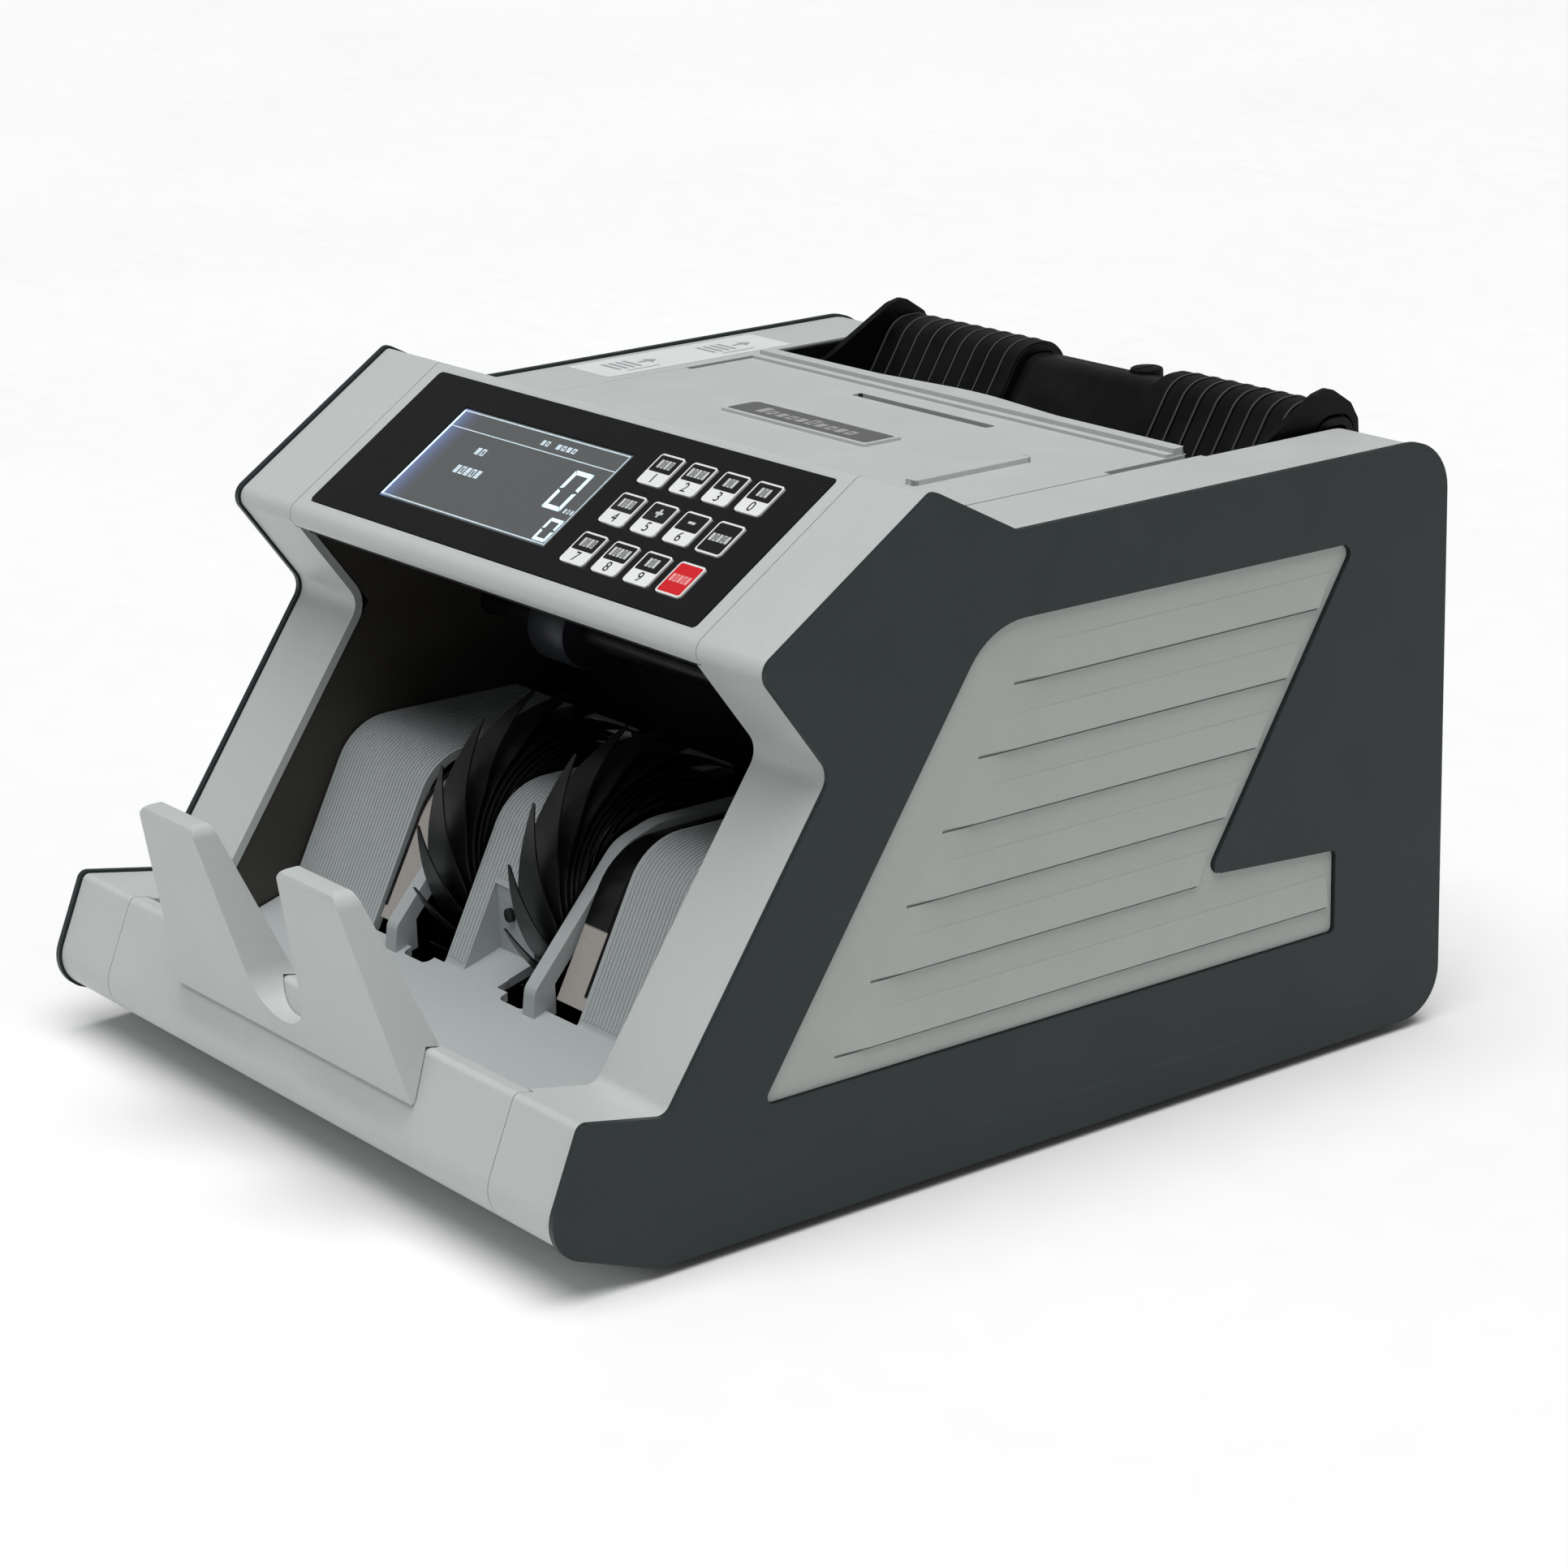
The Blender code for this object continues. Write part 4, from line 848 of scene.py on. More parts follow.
def make_note_stopper():
    stopper = slab("note_stopper_shell", rounded(STOPPER_FRONT_VIEW), -165.0, -128.0, "Y")
    corners = [(*body_corner(i)[:2], 0.0) for i in (NOSE_BACK, NOSE_TOP, NOSE_FRONT)]
    seat = [Vector(corner[:2]) for corner in inset(corners, GAP, closed=False)]
    toe = seat[1] + (seat[2] - seat[1]).normalized() * STOPPER_TOE
    heel = seat[1] + (seat[0] - seat[1]).normalized() * (STOPPER_HEEL[0] - seat[1].x)
    side_view = [
        (toe.x, toe.y, 0.0),
        (toe.x - 1.2, toe.y - 0.4, 0.0),
        (FRONT - STOPPER_REACH, STOPPER_TOP - 2.6, 0.0),
        (FRONT - STOPPER_REACH + 0.4, STOPPER_TOP - 1.0, 0.0),
        (FRONT - STOPPER_REACH + 1.8, STOPPER_TOP, 0.0),
        (STOPPER_BACK, STOPPER_TOP, 2.0),
        (*STOPPER_HEEL, 0.0),
        (heel.x, heel.y, 0.0),
        (seat[1].x, seat[1].y, 0.0),
    ]
    cut(stopper, slab("side_view", rounded(side_view), -70.0, 70.0, "X"), operation="INTERSECT")
    piece(stopper, "housing", "light", ["note_stopper"], width=1.5, segments=4)


def ribs(name, path, xs, height=0.22, width=0.75):
    """Fine ribs that run down the note bed, one at each x."""
    raised = inset(path, -height, closed=False)
    rib = slab(name, sheet(raised, height + 0.5), xs[0] - width / 2, xs[0] + width / 2, "X")
    return copies(rib, [(x - xs[0], 0, 0) for x in xs])


def steps(low, high, pitch):
    count = int((high - low) / pitch)
    first = (low + high - count * pitch) / 2
    return [first + pitch * i for i in range(count + 1)]


def make_note_bed():
    """Floor and ramps under the notes, with the wheels' openings, the fins and the sensor's recess."""
    half = MOUTH_HALF - GAP
    bed = slab("stacker_plate_shell", sheet(STACKER_PATH, SHEET), -half, half, "X")
    left, right = RECESS_X
    cut(bed, slab("shell", RECESS_SHELL, left - 2.0, right - 0.3, "X"), operation="UNION")
    cut(bed, slab("recess", RECESS, left, right + 2.0, "X"))
    for side in (-1, 1):
        low, high = spread(side, *RAMP_SLOT_X)
        ramp_slot = block("ramp_slot", (low, -90.2, 20), (high, -11.0, 110))
        low, high = spread(side, *FLOOR_SLOT_X)
        corners = [(low, -80.0, 0), (low, -93.4, 2.0), (high, -93.4, 2.0), (high, -80.0, 0)]
        floor_slot = slab("floor_slot", rounded(corners), 20, 70, "Z")
        low, high = spread(side, RAMP_SLOT_X[0], FIN_X[0])
        rear_slot = block("rear_slot", (low, -40, 60), (high, 0, 110))
        cut(bed, ramp_slot, floor_slot, rear_slot)
        cut(bed, slab("fin", rounded(FIN), *spread(side, *FIN_X), "X"), operation="UNION")
    piece(bed, "housing", "bed", ["stacker_plate"], width=0.45, segments=2)
    whole = [(-88.9, 39.8, 0), STACKER_PATH[3], (-8.6, 84.6, 0)]
    upper = [(-77.0, 62.8, 0), STACKER_PATH[3], (-8.6, 84.6, 0)]
    made = []
    for side in (-1, 1):
        made.append(ribs("ribs", whole, steps(*spread(side, 53.4, 96.0), 1.5)))
    made.append(ribs("ribs", whole, steps(-12.8, -5.2, 1.5)))
    made.append(ribs("ribs", upper, steps(-3.7, 12.8, 1.5)))
    piece(join("note_bed_ribs", made), "housing", "bed", width=0)
    sensor = turned_piece(
        "note_sensor",
        [(0, 0.9), (1.4, 0.9), (2.0, 0.3), (2.0, -1.0), (0, -1.0)],
        (3, -77.9, 53.4),
        "Y",
    )
    piece(sensor, "housing", "film", width=0)


def make_slot_strips():
    """Springy steel strips that lie under the openings beside the fins, with a dark film on the right one."""
    path = [(-87.5, 41.0, 0), (-67.0, 79.0, 22.0), (-14.0, 80.6, 0)]
    for side in (-1, 1):
        low, high = spread(side, 38.6, 51.0)
        strip = slab(f"{side_name(side)}_slot_strip", sheet(path, 0.6), low, high, "X")
        piece(strip, "housing", "stainless", width=0.15, segments=2)
        low, high = spread(side, 49.8, 50.9)
        over = [(-86.0, 44.5, 0), (-66.6, 80.6, 21.0), (-14.0, 81.8, 0)]
        edge = slab(f"{side_name(side)}_slot_edge", sheet(over, 0.5), low, high, "X")
        piece(edge, "housing", "satin", width=0.15, segments=2)
    over[0] = (-77.4, 60.5, 0)
    film = slab("right_slot_film", sheet(over, 0.5), 38.8, 49.6, "X")
    piece(film, "housing", "film", width=0.15, segments=2)


def make_top_cover():
    valley, rear = body_corner(VALLEY), body_corner(REAR_TOP)
    path = [(valley[0] + 0.4, valley[1], 0.0), rear, (rear[0], 150.4, 0.0)]
    cover = slab("top_cover_shell", sheet(path, SHEET), -BODY_HALF, BODY_HALF, "X")
    lid_room = block("lid_room", (-LID_HALF - 0.5, LID_FRONT - 0.5, 140), (LID_HALF + 0.5, 120, 180))
    well = block("hopper_room", (-HOPPER_HALF, 92.0, 140), (HOPPER_HALF, 165, 180))
    cut(cover, lid_room, well)
    piece(cover, "housing", "light", ["top_cover"], width=0.45)


def make_label():
    """The white sticker on the left rail, with generic pictograms."""
    top = TOP - REVEAL
    paper = slab("label", rectangle((-124.5, 34.0), (-102.5, 104.0), 1.5), top + 0.02, top + 0.16, "Z")
    parts = [dress(paper, "label")]
    for y in (50.0, 86.0):
        stack = [slab(
            "mark",
            rectangle((-119.0, y - 7.5 + 2.6 * i), (-109.0, y - 6.2 + 2.6 * i), 0.3),
            top + 0.1,
            top + 0.2,
            "Z",
        )
                 for i in range(4)]
        arrow = [
            (-114.8, y + 3.4),
            (-113.2, y + 3.4),
            (-113.2, y + 6.6),
            (-111.0, y + 6.6),
            (-114.0, y + 10.2),
            (-117.0, y + 6.6),
            (-114.8, y + 6.6),
        ]
        stack.append(slab("mark", [Vector(p) for p in arrow], top + 0.1, top + 0.2, "Z"))
        stack.append(slab("mark", rectangle((-106.8, y - 6.0), (-106.0, y + 6.0)), top + 0.1, top + 0.2, "Z"))
        parts += [dress(mark, "print_grey") for mark in stack]
    piece(join("rail_label", parts), "housing", None, width=0)


def make_rear_cover():
    holes = [rectangle((-95.3, 29.7), (-66.7, 52.3)), rectangle((-52.4, 32.5), (-37.6, 49.5))]
    for column in range(9):
        left = 20.0 + column * 9.0
        holes.append(rectangle((left, 60.0), (left + 4.0, 100.0), 1.9))
    outer = BACK - REVEAL
    cover = slab(
        "rear_cover_shell",
        rectangle((-BODY_HALF, 24.6), (BODY_HALF, 149.8)),
        outer - SHEET,
        outer,
        "Y",
        holes=holes,
    )
    piece(cover, "housing", "light", ["rear_cover"], width=0.45)
    grille = slab("vent_mesh", rectangle((17.0, 57.0), (99.0, 103.0)), outer - SHEET - 1.2, outer - SHEET - 0.1, "Y",
                  holes=[rectangle(
                      (19.0 + 2.5 * i, 59.0 + 2.5 * j),
                      (20.6 + 2.5 * i, 60.6 + 2.5 * j),
                  ) for i in range(32) for j in range(17)])
    piece(grille, "housing", "zinc", width=0)
    spots = [(x, outer - 0.15, z) for x in (-118.0, 118.0) for z in (34.0, 92.0, 140.0)]
    make_screws("rear_screws", spots, "Y")


def make_screws(name, spots, axis):
    """Pan-head screws with a cross recess, all one piece."""
    profile = [(0, 0.9), (1.6, 0.8), (2.6, 0.45), (3.0, 0.0), (3.0, -0.6), (0, -0.6)]
    made = []
    for spot in spots:
        flip = -1 if axis == "-Z" else 1
        turned = [(radius, place * flip) for radius, place in profile]
        if flip < 0:
            turned = turned[::-1]
        head = turned_piece("screw", turned, spot, axis.strip("-"), sides=24)
        for along_x in (2.6, 0.45):
            along_z = 3.05 - along_x
            x, y, z = spot
            if axis == "Y":
                low, high = (
                    x - along_x / 2,
                    y + 0.35,
                    z - along_z / 2,
                ), (x + along_x / 2, y + 2, z + along_z / 2)
            else:
                low = (x - along_x / 2, y - along_z / 2, z - 2)
                high = (x + along_x / 2, y + along_z / 2, z - 0.35)
            cut(head, block("cross", low, high))
        made.append(head)
    piece(join(name, made), "housing", "zinc", width=0)


def make_base():
    """Base plate with pressed louvres, its screws, and the four feet."""
    rear = body_corner(REAR_BASE)
    path = [(rear[0], 24.0, 0.0), rear, (-117.0, rear[1], 0.0)]
    plate = slab("base_plate_shell", sheet(path, 2.0), -BODY_HALF, BODY_HALF, "X")
    for column in range(8):
        left = -60.0 + column * 16.0
        for front in (-40.0, 30.0):
            louvre = slab("louvre", rectangle((left, front), (left + 5.0, front + 40.0), 2.4), 1.0, 8.0, "Z")
            cut(plate, louvre)
    piece(plate, "housing", "wall", ["base_plate"], width=0.3, segments=2)
    spots = [(x, y, rear[1]) for x in (-118.0, 0.0, 118.0) for y in (-90.0, 110.0)]
    make_screws("base_screws", spots, "-Z")
    for end, y in (("front", -104.0), ("rear", 126.0)):
        for side in (-1, 1):
            name = f"{end}_{side_name(side)}_foot"
            profile = [
                (0, 3.5),
                (9.0, 3.5),
                (9.0, 1.6),
                (8.7, 0.6),
                (8.0, 0.1),
                (7.4, 0.0),
                (5.4, 0.0),
                (5.0, 0.5),
                (5.0, 1.2),
                (2.2, 1.2),
                (2.0, 1.5),
                (0, 1.5),
            ]
            foot = turned_piece(name + "_shell", profile, (side * 108.0, y, 0), "Z")
            piece(foot, "housing", "rubber", [name], width=0)


# ---------------------------------------------------------------- control panel

def on_face(name, low, high, bottom, top, look, radius=0.0):
    return dress(slab(name, rectangle(low, high, radius), bottom, top, FACE), look)


def ring(name, low, high, line, bottom, top, look, radius=0.0):
    inner = rectangle(
        (low[0] + line, low[1] + line),
        (high[0] - line, high[1] - line),
        max(radius - line, 0.0),
    )
    return dress(slab(name, rectangle(low, high, radius), bottom, top, FACE, holes=[inner]), look)


def glyph(text, x, v, size, bottom, top, look, bold=0.0):
    """A digit or sign, drawn on the control face with the point (x, v) at its middle."""
    curve = bpy.data.curves.new("glyph", "FONT")
    curve.body = text
    curve.size = size * MM
    curve.align_x = "CENTER"
    curve.align_y = "CENTER"
    curve.extrude = (top - bottom) / 2 * MM
    curve.offset = bold * MM
    drawn = add_object("glyph", curve)
    mesh = mesh_of(drawn)
    middle = Vector([(min(v.co[i] for v in mesh.vertices) + max(v.co[i] for v in mesh.vertices)) / 2 for i in range(3)])
    mesh.transform(FACE @ Matrix.Translation(Vector((x, v, (bottom + top) / 2)) * MM - middle))
    discard(drawn)
    return dress(add_object("glyph", mesh), look)


def key_spots():
    for row, names in enumerate(KEY_NAMES):
        for column, name in enumerate(names):
            yield name, KEY_COLUMNS[column], KEY_ROWS[row]


def key_outline(x, v, grow=0.0):
    half_u, half_v = KEY_WIDTH / 2 + grow, KEY_HEIGHT / 2 + grow
    return rectangle((x - half_u, v - half_v), (x + half_u, v + half_v), 1.2 + grow)


def letter_blocks(x, v, count, width, height, bottom, top, look, gap=0.45):
    """A row of small blocks where a word would be."""
    pitch = width + gap
    first = x - pitch * (count - 1) / 2
    made = []
    for i in range(count):
        spot = first + pitch * i
        low, high = (spot - width / 2, v - height / 2), (spot + width / 2, v + height / 2)
        line = min(width, height) * 0.3
        made.append(ring(
            "mark",
            low,
            high,
            line,
            bottom,
            top,
            look,
        ) if i % 2 else on_face("mark", low, high, bottom, top, look))
    return made


def make_key(name, x, v):
    """One key: a white-edged cap, black above with a generic mark, and its digit below on white."""
    face = 0.7
    proud = face + 0.05
    cap = slab("cap", key_outline(x, v), -3.2, face, FACE)
    left, right = x - KEY_WIDTH / 2 + 0.6, x + KEY_WIDTH / 2 - 0.6
    bottom, top = v - KEY_HEIGHT / 2 + 0.6, v + KEY_HEIGHT / 2 - 0.6
    parts = [dress(cap, "print_white")]
    if name in ("start", "mode"):
        fill, print_look = ("red", "print_pink") if name == "start" else ("print_black", "print_dim")
        parts.append(on_face("fill", (left, bottom), (right, top), 0.4, proud, fill, 0.7))
        parts += letter_blocks(x, v, 5, 1.2, 2.6, 0.6, proud + 0.04, print_look)
    else:
        split = v - 0.9
        parts.append(on_face("fill", (left, split), (right, top), 0.4, proud, "print_black", 0.5))
        parts.append(glyph(name, x, (v - KEY_HEIGHT / 2 + split) / 2 + 0.2, 4.8, 0.5, proud, "print_black"))
        mark_v = (split + top) / 2
        if name in ("5", "6"):
            parts.append(glyph(
                "+" if name == "5" else "−",
                x,
                mark_v,
                5.4,
                0.6,
                proud + 0.04,
                "print_dim",
                0.2,
            ))
        else:
            count = (3, 4, 5)[int(name) % 3]
            parts += letter_blocks(x, mark_v, count, 1.15, 3.0, 0.6, proud + 0.04, "print_dim")
    piece(
        join(f"key_{name}_top", parts),
        f"key_{name}_cap",
        None,
        [f"key_{name}"],
        width=0.14,
        segments=2,
    )


def seven_segment(x, v, width, height, line, slant=0.0):
    """An outlined nought of six bars with mitred ends."""
    gap = line * 0.16
    middle = height / 2
    bars = [
        ((gap, height), (width - gap, height), (width - line, height - line), (line, height - line)),
        ((gap, 0), (line, line), (width - line, line), (width - gap, 0)),
    ]
    for left, inner in ((0, line), (width, width - line)):
        bars.append((
            (left, height - gap),
            (inner, height - line - gap),
            (inner, middle + line * 0.5),
            (left, middle + gap),
        ))
        bars.append(((left, gap), (inner, line + gap), (inner, middle - line * 0.5), (left, middle - gap)))
    return [dress(
        slab("bar", [Vector((x + u + slant * w, v + w)) for u, w in bar], 0.05, 0.16, FACE),
        "glow",
    ) for bar in bars]


def make_screen():
    low = (SCREEN_X[0] + GAP, SCREEN_V[0] + GAP)
    high = (SCREEN_X[1] - GAP, SCREEN_V[1] - GAP)
    glass = slab("screen_glass", rectangle(low, high), -5.8, 0.1, FACE)
    piece(glass, "housing", "glass", ["lcd_module"], width=0.1, segments=2)
    marks = [
        ring(
            "border",
            (low[0] + 0.5, low[1] + 0.5),
            (high[0] - 0.5, high[1] - 0.5),
            0.45,
            0.05,
            0.14,
            "frame_line",
        ),
        on_face("header", (low[0] + 0.9, 45.9), (high[0] - 0.9, 46.25), 0.05, 0.14, "frame_line"),
        on_face("edge", (low[0] + 0.2, low[1] + 0.6), (low[0] + 1.1, high[1] - 0.6), 0.05, 0.15, "glow"),
    ]
    marks += seven_segment(-0.6, 28.6, 8.6, 14.6, 1.5)
    marks += seven_segment(7.6, 17.8, 6.0, 8.4, 1.1)
    for x, v, count, width, height in (
        (-44.6, 40.0, 2, 1.9, 2.6),
        (-42.0, 32.4, 5, 1.9, 3.0),
        (-22.6, 48.9, 2, 1.5, 1.9),
        (-12.4, 48.9, 4, 1.8, 1.9),
        (11.6, 29.4, 3, 0.9, 1.6),
    ):
        marks += letter_blocks(x, v, count, width, height, 0.05, 0.13, "frame_line", 0.7)
    piece(join("screen_marks", marks), "housing", None, width=0)


def make_panel():
    holes = [key_outline(x, v, GAP) for _, x, v in key_spots()]
    holes.append(rectangle((SCREEN_X[0], SCREEN_V[0]), (SCREEN_X[1], SCREEN_V[1])))
    film = slab(
        "panel_film",
        rectangle((-PANEL_HALF, PANEL_LOW), (PANEL_HALF, PANEL_HIGH), 1.5),
        -1.8,
        0.3,
        FACE,
        holes=holes,
    )
    piece(film, "housing", "film", ["key_panel"], width=0.15, segments=2)
    for name, x, v in key_spots():
        make_key(name, x, v)
    make_screen()


# ---------------------------------------------------------------- hopper and lid

def make_lid():
    top = TOP - REVEAL
    rear_half = 94.8
    outline = [
        (-LID_HALF, LID_FRONT, 1.0),
        (-LID_HALF, 59.5, 0.5),
        (-rear_half, 59.5, 0.5),
        (-rear_half, LID_BACK, 1.0),
        (-40.0, LID_BACK + 0.4, 60.0),
        (0.0, LID_BACK + 5.0, 120.0),
        (40.0, LID_BACK + 0.4, 60.0),
        (rear_half, LID_BACK, 1.0),
        (rear_half, 59.5, 0.5),
        (LID_HALF, 59.5, 0.5),
        (LID_HALF, LID_FRONT, 1.0),
    ]
    lid = slab("lid_shell", rounded(outline, step_angle=math.radians(3)), top - SHEET, top, "Z")
    low, high = (RIDGE_END - RIDGE_WIDTH, RIDGE_FRONT), (RIDGE_END, RIDGE_BACK)
    cut(lid, slab("ridge", rectangle(low, high, 1.6), top - 1, top + RIDGE_RISE, "Z"), operation="UNION")
    for front, rise in ((82.6, 0.9), (85.4, 2.2)):
        lip = [
            (-94.3, front, 0),
            (-94.3, 89.5, 1),
            (-40.0, 89.9, 60),
            (0.0, 94.5, 120),
            (40.0, 89.9, 60),
            (94.3, 89.5, 1),
            (94.3, front, 0),
        ]
        cut(
            lid,
            slab("lip", rounded(lip, step_angle=math.radians(3)), top - 1, top + rise, "Z"),
            operation="UNION",
        )
    slot = ((-31.0, 71.6), (31.0, 75.2))
    cut(lid, slab("finger_slot", rectangle(*slot, 1.0), top - 2.2, top + 5, "Z"))
    piece(lid, "lid", "light", ["lid"], width=0.3, segments=2)
    # A black sheet at the slot's bottom: painted shade in the finger slot.
    slot_shade = slab("finger_slot_painted_shade", rectangle(*slot, 1.0), top - 2.3, top - 1.9, "Z")
    piece(slot_shade, "lid", "print_black", width=0)
    make_badge(top)


def make_badge(top):
    """A plain badge with rounded corners: a bright rim round a dark field."""
    def outline(grow):
        low, high = (-42.0 - grow, 31.6 - grow), (26.0 + grow, 45.4 + grow)
        return rectangle(low, high, 1.4)

    rim = dress(slab("rim", outline(0), top - 0.1, top + 0.9, "Z", holes=[outline(-1.3)]), "badge_rim")
    parts = [rim, dress(slab("field", outline(-1.1), top - 0.1, top + 0.7, "Z"), "badge")]
    for i in range(10):
        x = -29.6 + 4.6 * i
        height = 5.2 if i % 5 == 0 else 3.8
        low, high = (x - 1.6, 36.2), (x + 1.6, 36.2 + height)
        holes = [rectangle((x - 0.7, 37.2), (x + 0.7, 35.2 + height))] if i % 2 else []
        parts.append(dress(
            slab("mark", rectangle(low, high), top + 0.6, top + 0.78, "Z", holes=holes),
            "badge_mark",
        ))
    piece(join("lid_badge", parts), "lid", None, width=0.12, segments=2)


def make_hopper_tray():
    wall = [
        (58.0, 126.0, 0),
        (58.0, 168.2, 0),
        (92.6, 168.2, 0),
        (92.6, 171.0, 0),
        (151.0, 171.0, 13.0),
        (151.0, 126.0, 0),
    ]
    half = HOPPER_HALF - GAP
    tray = slab("hopper_tray_shell", rounded(wall), -half, half, "X")
    inside = [(50.0, 128.5), (149.0, 128.5), (149.0, 158.0), (165.0, 158.0), (165.0, 200.0), (50.0, 200.0)]
    cut(tray, slab("well", inside, 2.0 - half, half - 2.0, "X"))
    for side in (-1, 1):
        low, high = spread(side, 17.0, 43.0)
        cut(tray, block("roller_slot", (low, 90.0, 120), (high, 120.0, 135)))
    piece(tray, "housing", "black", ["hopper_tray"], width=0.4)


def make_backrest():
    half = HOPPER_HALF - 2.0 - 2 * GAP
    knob_x, knob_y = 12.0, 149.4
    rest = slab("hopper_backrest_shell", sheet(BACKREST, 2.2), -half, half, "X")
    cut(rest, slab("knob_pocket", circle((knob_x, knob_y), 5.8), 158.6, 190.0, "Z"))
    piece(rest, "housing", "satin", ["hopper_backrest"], width=0.4)
    profile = [
        (0, 174.6),
        (4.3, 174.6),
        (4.8, 174.3),
        (5.0, 173.8),
        (5.0, 165.3),
        (4.7, 165.0),
        (1.6, 165.0),
        (1.6, 158.3),
        (0, 158.3),
    ]
    knob = turned_piece("knob_cap", profile, (knob_x, knob_y, 0), "Z", sides=48)
    grips = []
    for i in range(16):
        angle = 2 * math.pi * i / 16
        spot = (knob_x + 5.15 * math.cos(angle), knob_y + 5.15 * math.sin(angle))
        grips.append(slab("grip", circle(spot, 0.4, 8), 166.0, 173.4, "Z"))
    cut(
        knob,
        *grips,
        block("pointer", (knob_x - 0.4, knob_y - 4.2, 174.2), (knob_x + 0.4, knob_y + 4.2, 176.0)),
    )
    piece(knob, "knob", "black", ["adjusting_knob"], width=0)


def make_guide(side):
    """A sleeve of overlapping bands over the backrest, and the ear beside the notes with its turned rim."""
    name = f"{side_name(side)}_hopper_guide"
    outer = inset(BACKREST, -2.8, closed=False)
    outer[0] = along(outer[0], outer[1], 9.0)
    outer[-1] = along(outer[-1], outer[-2], 4.0)
    low, high = spread(side, *SLEEVE_X)
    guide = slab(name + "_shell", sheet(outer, 2.4), low, high, "X")
    around = inset(BACKREST, -0.9, closed=False)
    around[-1] = along(around[-1], around[-2], 5.0)
    edge = rounded(EAR, closed=False) + rounded(around, closed=False)[::-1]
    cut(guide, slab("ear", edge, *spread(side, *GUIDE_X), "X"), operation="UNION")
    parts = [dress(guide, "black")]
    for band in range(9):
        place = SLEEVE_X[0] + 0.9 + band * 7.0
        low, high = spread(side, place, min(place + 6.4, SLEEVE_X[1]))
        rise = inset(outer, -0.35, closed=False)
        parts.append(dress(slab("band", sheet(rise, 1.2), low, high, "X"), "black"))
        # Each band's crest strip takes the lighter ridge look, a painted highlight.
        low, high = spread(side, place + 5.7, min(place + 6.3, SLEEVE_X[1]))
        crest = inset(outer, -0.6, closed=False)
        parts.append(dress(slab("band_edge", sheet(crest, 1.2), low, high, "X"), "ridge"))
    piece(
        join(name + "_top", parts),
        f"{side_name(side)}_guide",
        None,
        [name],
        width=0.3,
        segments=2,
    )


# ---------------------------------------------------------------- drive

def joint(name):
    found = next(j for j in frame["joints"] if j["name"] == name)
    x, y, z = found["pos_m"]
    return (x / MM, y / MM - SHIFT, z / MM)


DISC_R, BLADE_CLIMB, BLADE_FLARE, BLADE_CURVE = 27.0, 10.0, 9.0, 6
BLADES, SWEEP, PHASE = 16, math.radians(168.75), math.radians(7.75)
BLADE_WALL, TAPER_START = 1.0, 0.74


def blade(axis, turn, inner_x, outer_x, stations=40):
    """One blade: a thin strip that winds out from the hub and narrows to a pointed tip."""
    mesh = bpy.data.meshes.new("blade")
    shape = bmesh.new()
    rows = []
    middle = (inner_x + outer_x) / 2
    for station in range(stations + 1):
        share = station / stations
        angle = turn + SWEEP * share
        radius = DISC_R - 2.0 * (1 - share) + BLADE_CLIMB * share + BLADE_FLARE * share ** BLADE_CURVE
        thick = BLADE_WALL * (1 - 0.5 * share)
        taper = max(0.0, (share - TAPER_START) / (1 - TAPER_START))
        half = (outer_x - inner_x) / 2 * (1 - 0.95 * taper)
        row = []
        for x, out in ((middle - half, 0), (middle + half, 0), (middle + half, 1), (middle - half, 1)):
            reach = radius - (0 if out else thick)
            row.append(shape.verts.new(Vector((
                x,
                axis[1] - reach * math.cos(angle),
                axis[2] + reach * math.sin(angle),
            )) * MM))
        rows.append(row)
    for first, second in zip(rows, rows[1:]):
        for i in range(4):
            shape.faces.new((first[i], first[(i + 1) % 4], second[(i + 1) % 4], second[i]))
    shape.faces.new(rows[0])
    shape.faces.new(rows[-1][::-1])
    bmesh.ops.recalc_face_normals(shape, faces=shape.faces)
    shape.to_mesh(mesh)
    shape.free()
    return add_object("blade", mesh)


def make_wheel(side):
    name = f"{side_name(side)}_stacker_wheel"
    low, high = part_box(name)
    inner_x, outer_x = low.x / MM, high.x / MM
    axis = joint("stacker_spin")
    middle = (inner_x + outer_x) / 2
    reach = (outer_x - inner_x) / 2
    hub = [
        (DISC_R, reach - 0.6),
        (DISC_R - 0.6, reach),
        (DISC_R - 3.4, reach),
        (DISC_R - 3.6, reach - 1.4),
        (7.0, reach - 1.4),
        (6.8, reach),
        (4.3, reach),
        (4.3, -reach),
        (6.8, -reach),
        (7.0, 1.4 - reach),
        (DISC_R - 3.6, 1.4 - reach),
        (DISC_R - 3.4, -reach),
        (DISC_R - 0.6, -reach),
        (DISC_R, 0.6 - reach),
    ]
    parts = [turned_piece("hub", hub, (middle, axis[1], axis[2]), closed=True)]
    for number in range(BLADES):
        parts.append(blade(axis, number * 2 * math.pi / BLADES + PHASE, inner_x, outer_x))
    wheel = join(name + "_blades", parts)
    piece(wheel, "stacker_rotor", "blade", [name], width=0)


def roller_land(low, high, radius, grooves):
    """A rubber land's outline down its side, with its edges eased and shallow grooves round it."""
    profile = [(4.0, high)]
    step = (high - low) / grooves
    for i in range(grooves):
        place = high - step * i
        ease = min(step * 0.2, 1.2)
        profile += [
            (radius - 0.7, place),
            (radius, place - ease),
            (radius, place - step + ease),
            (radius - 0.7, place - step),
        ]
    profile.append((4.0, low))
    return profile


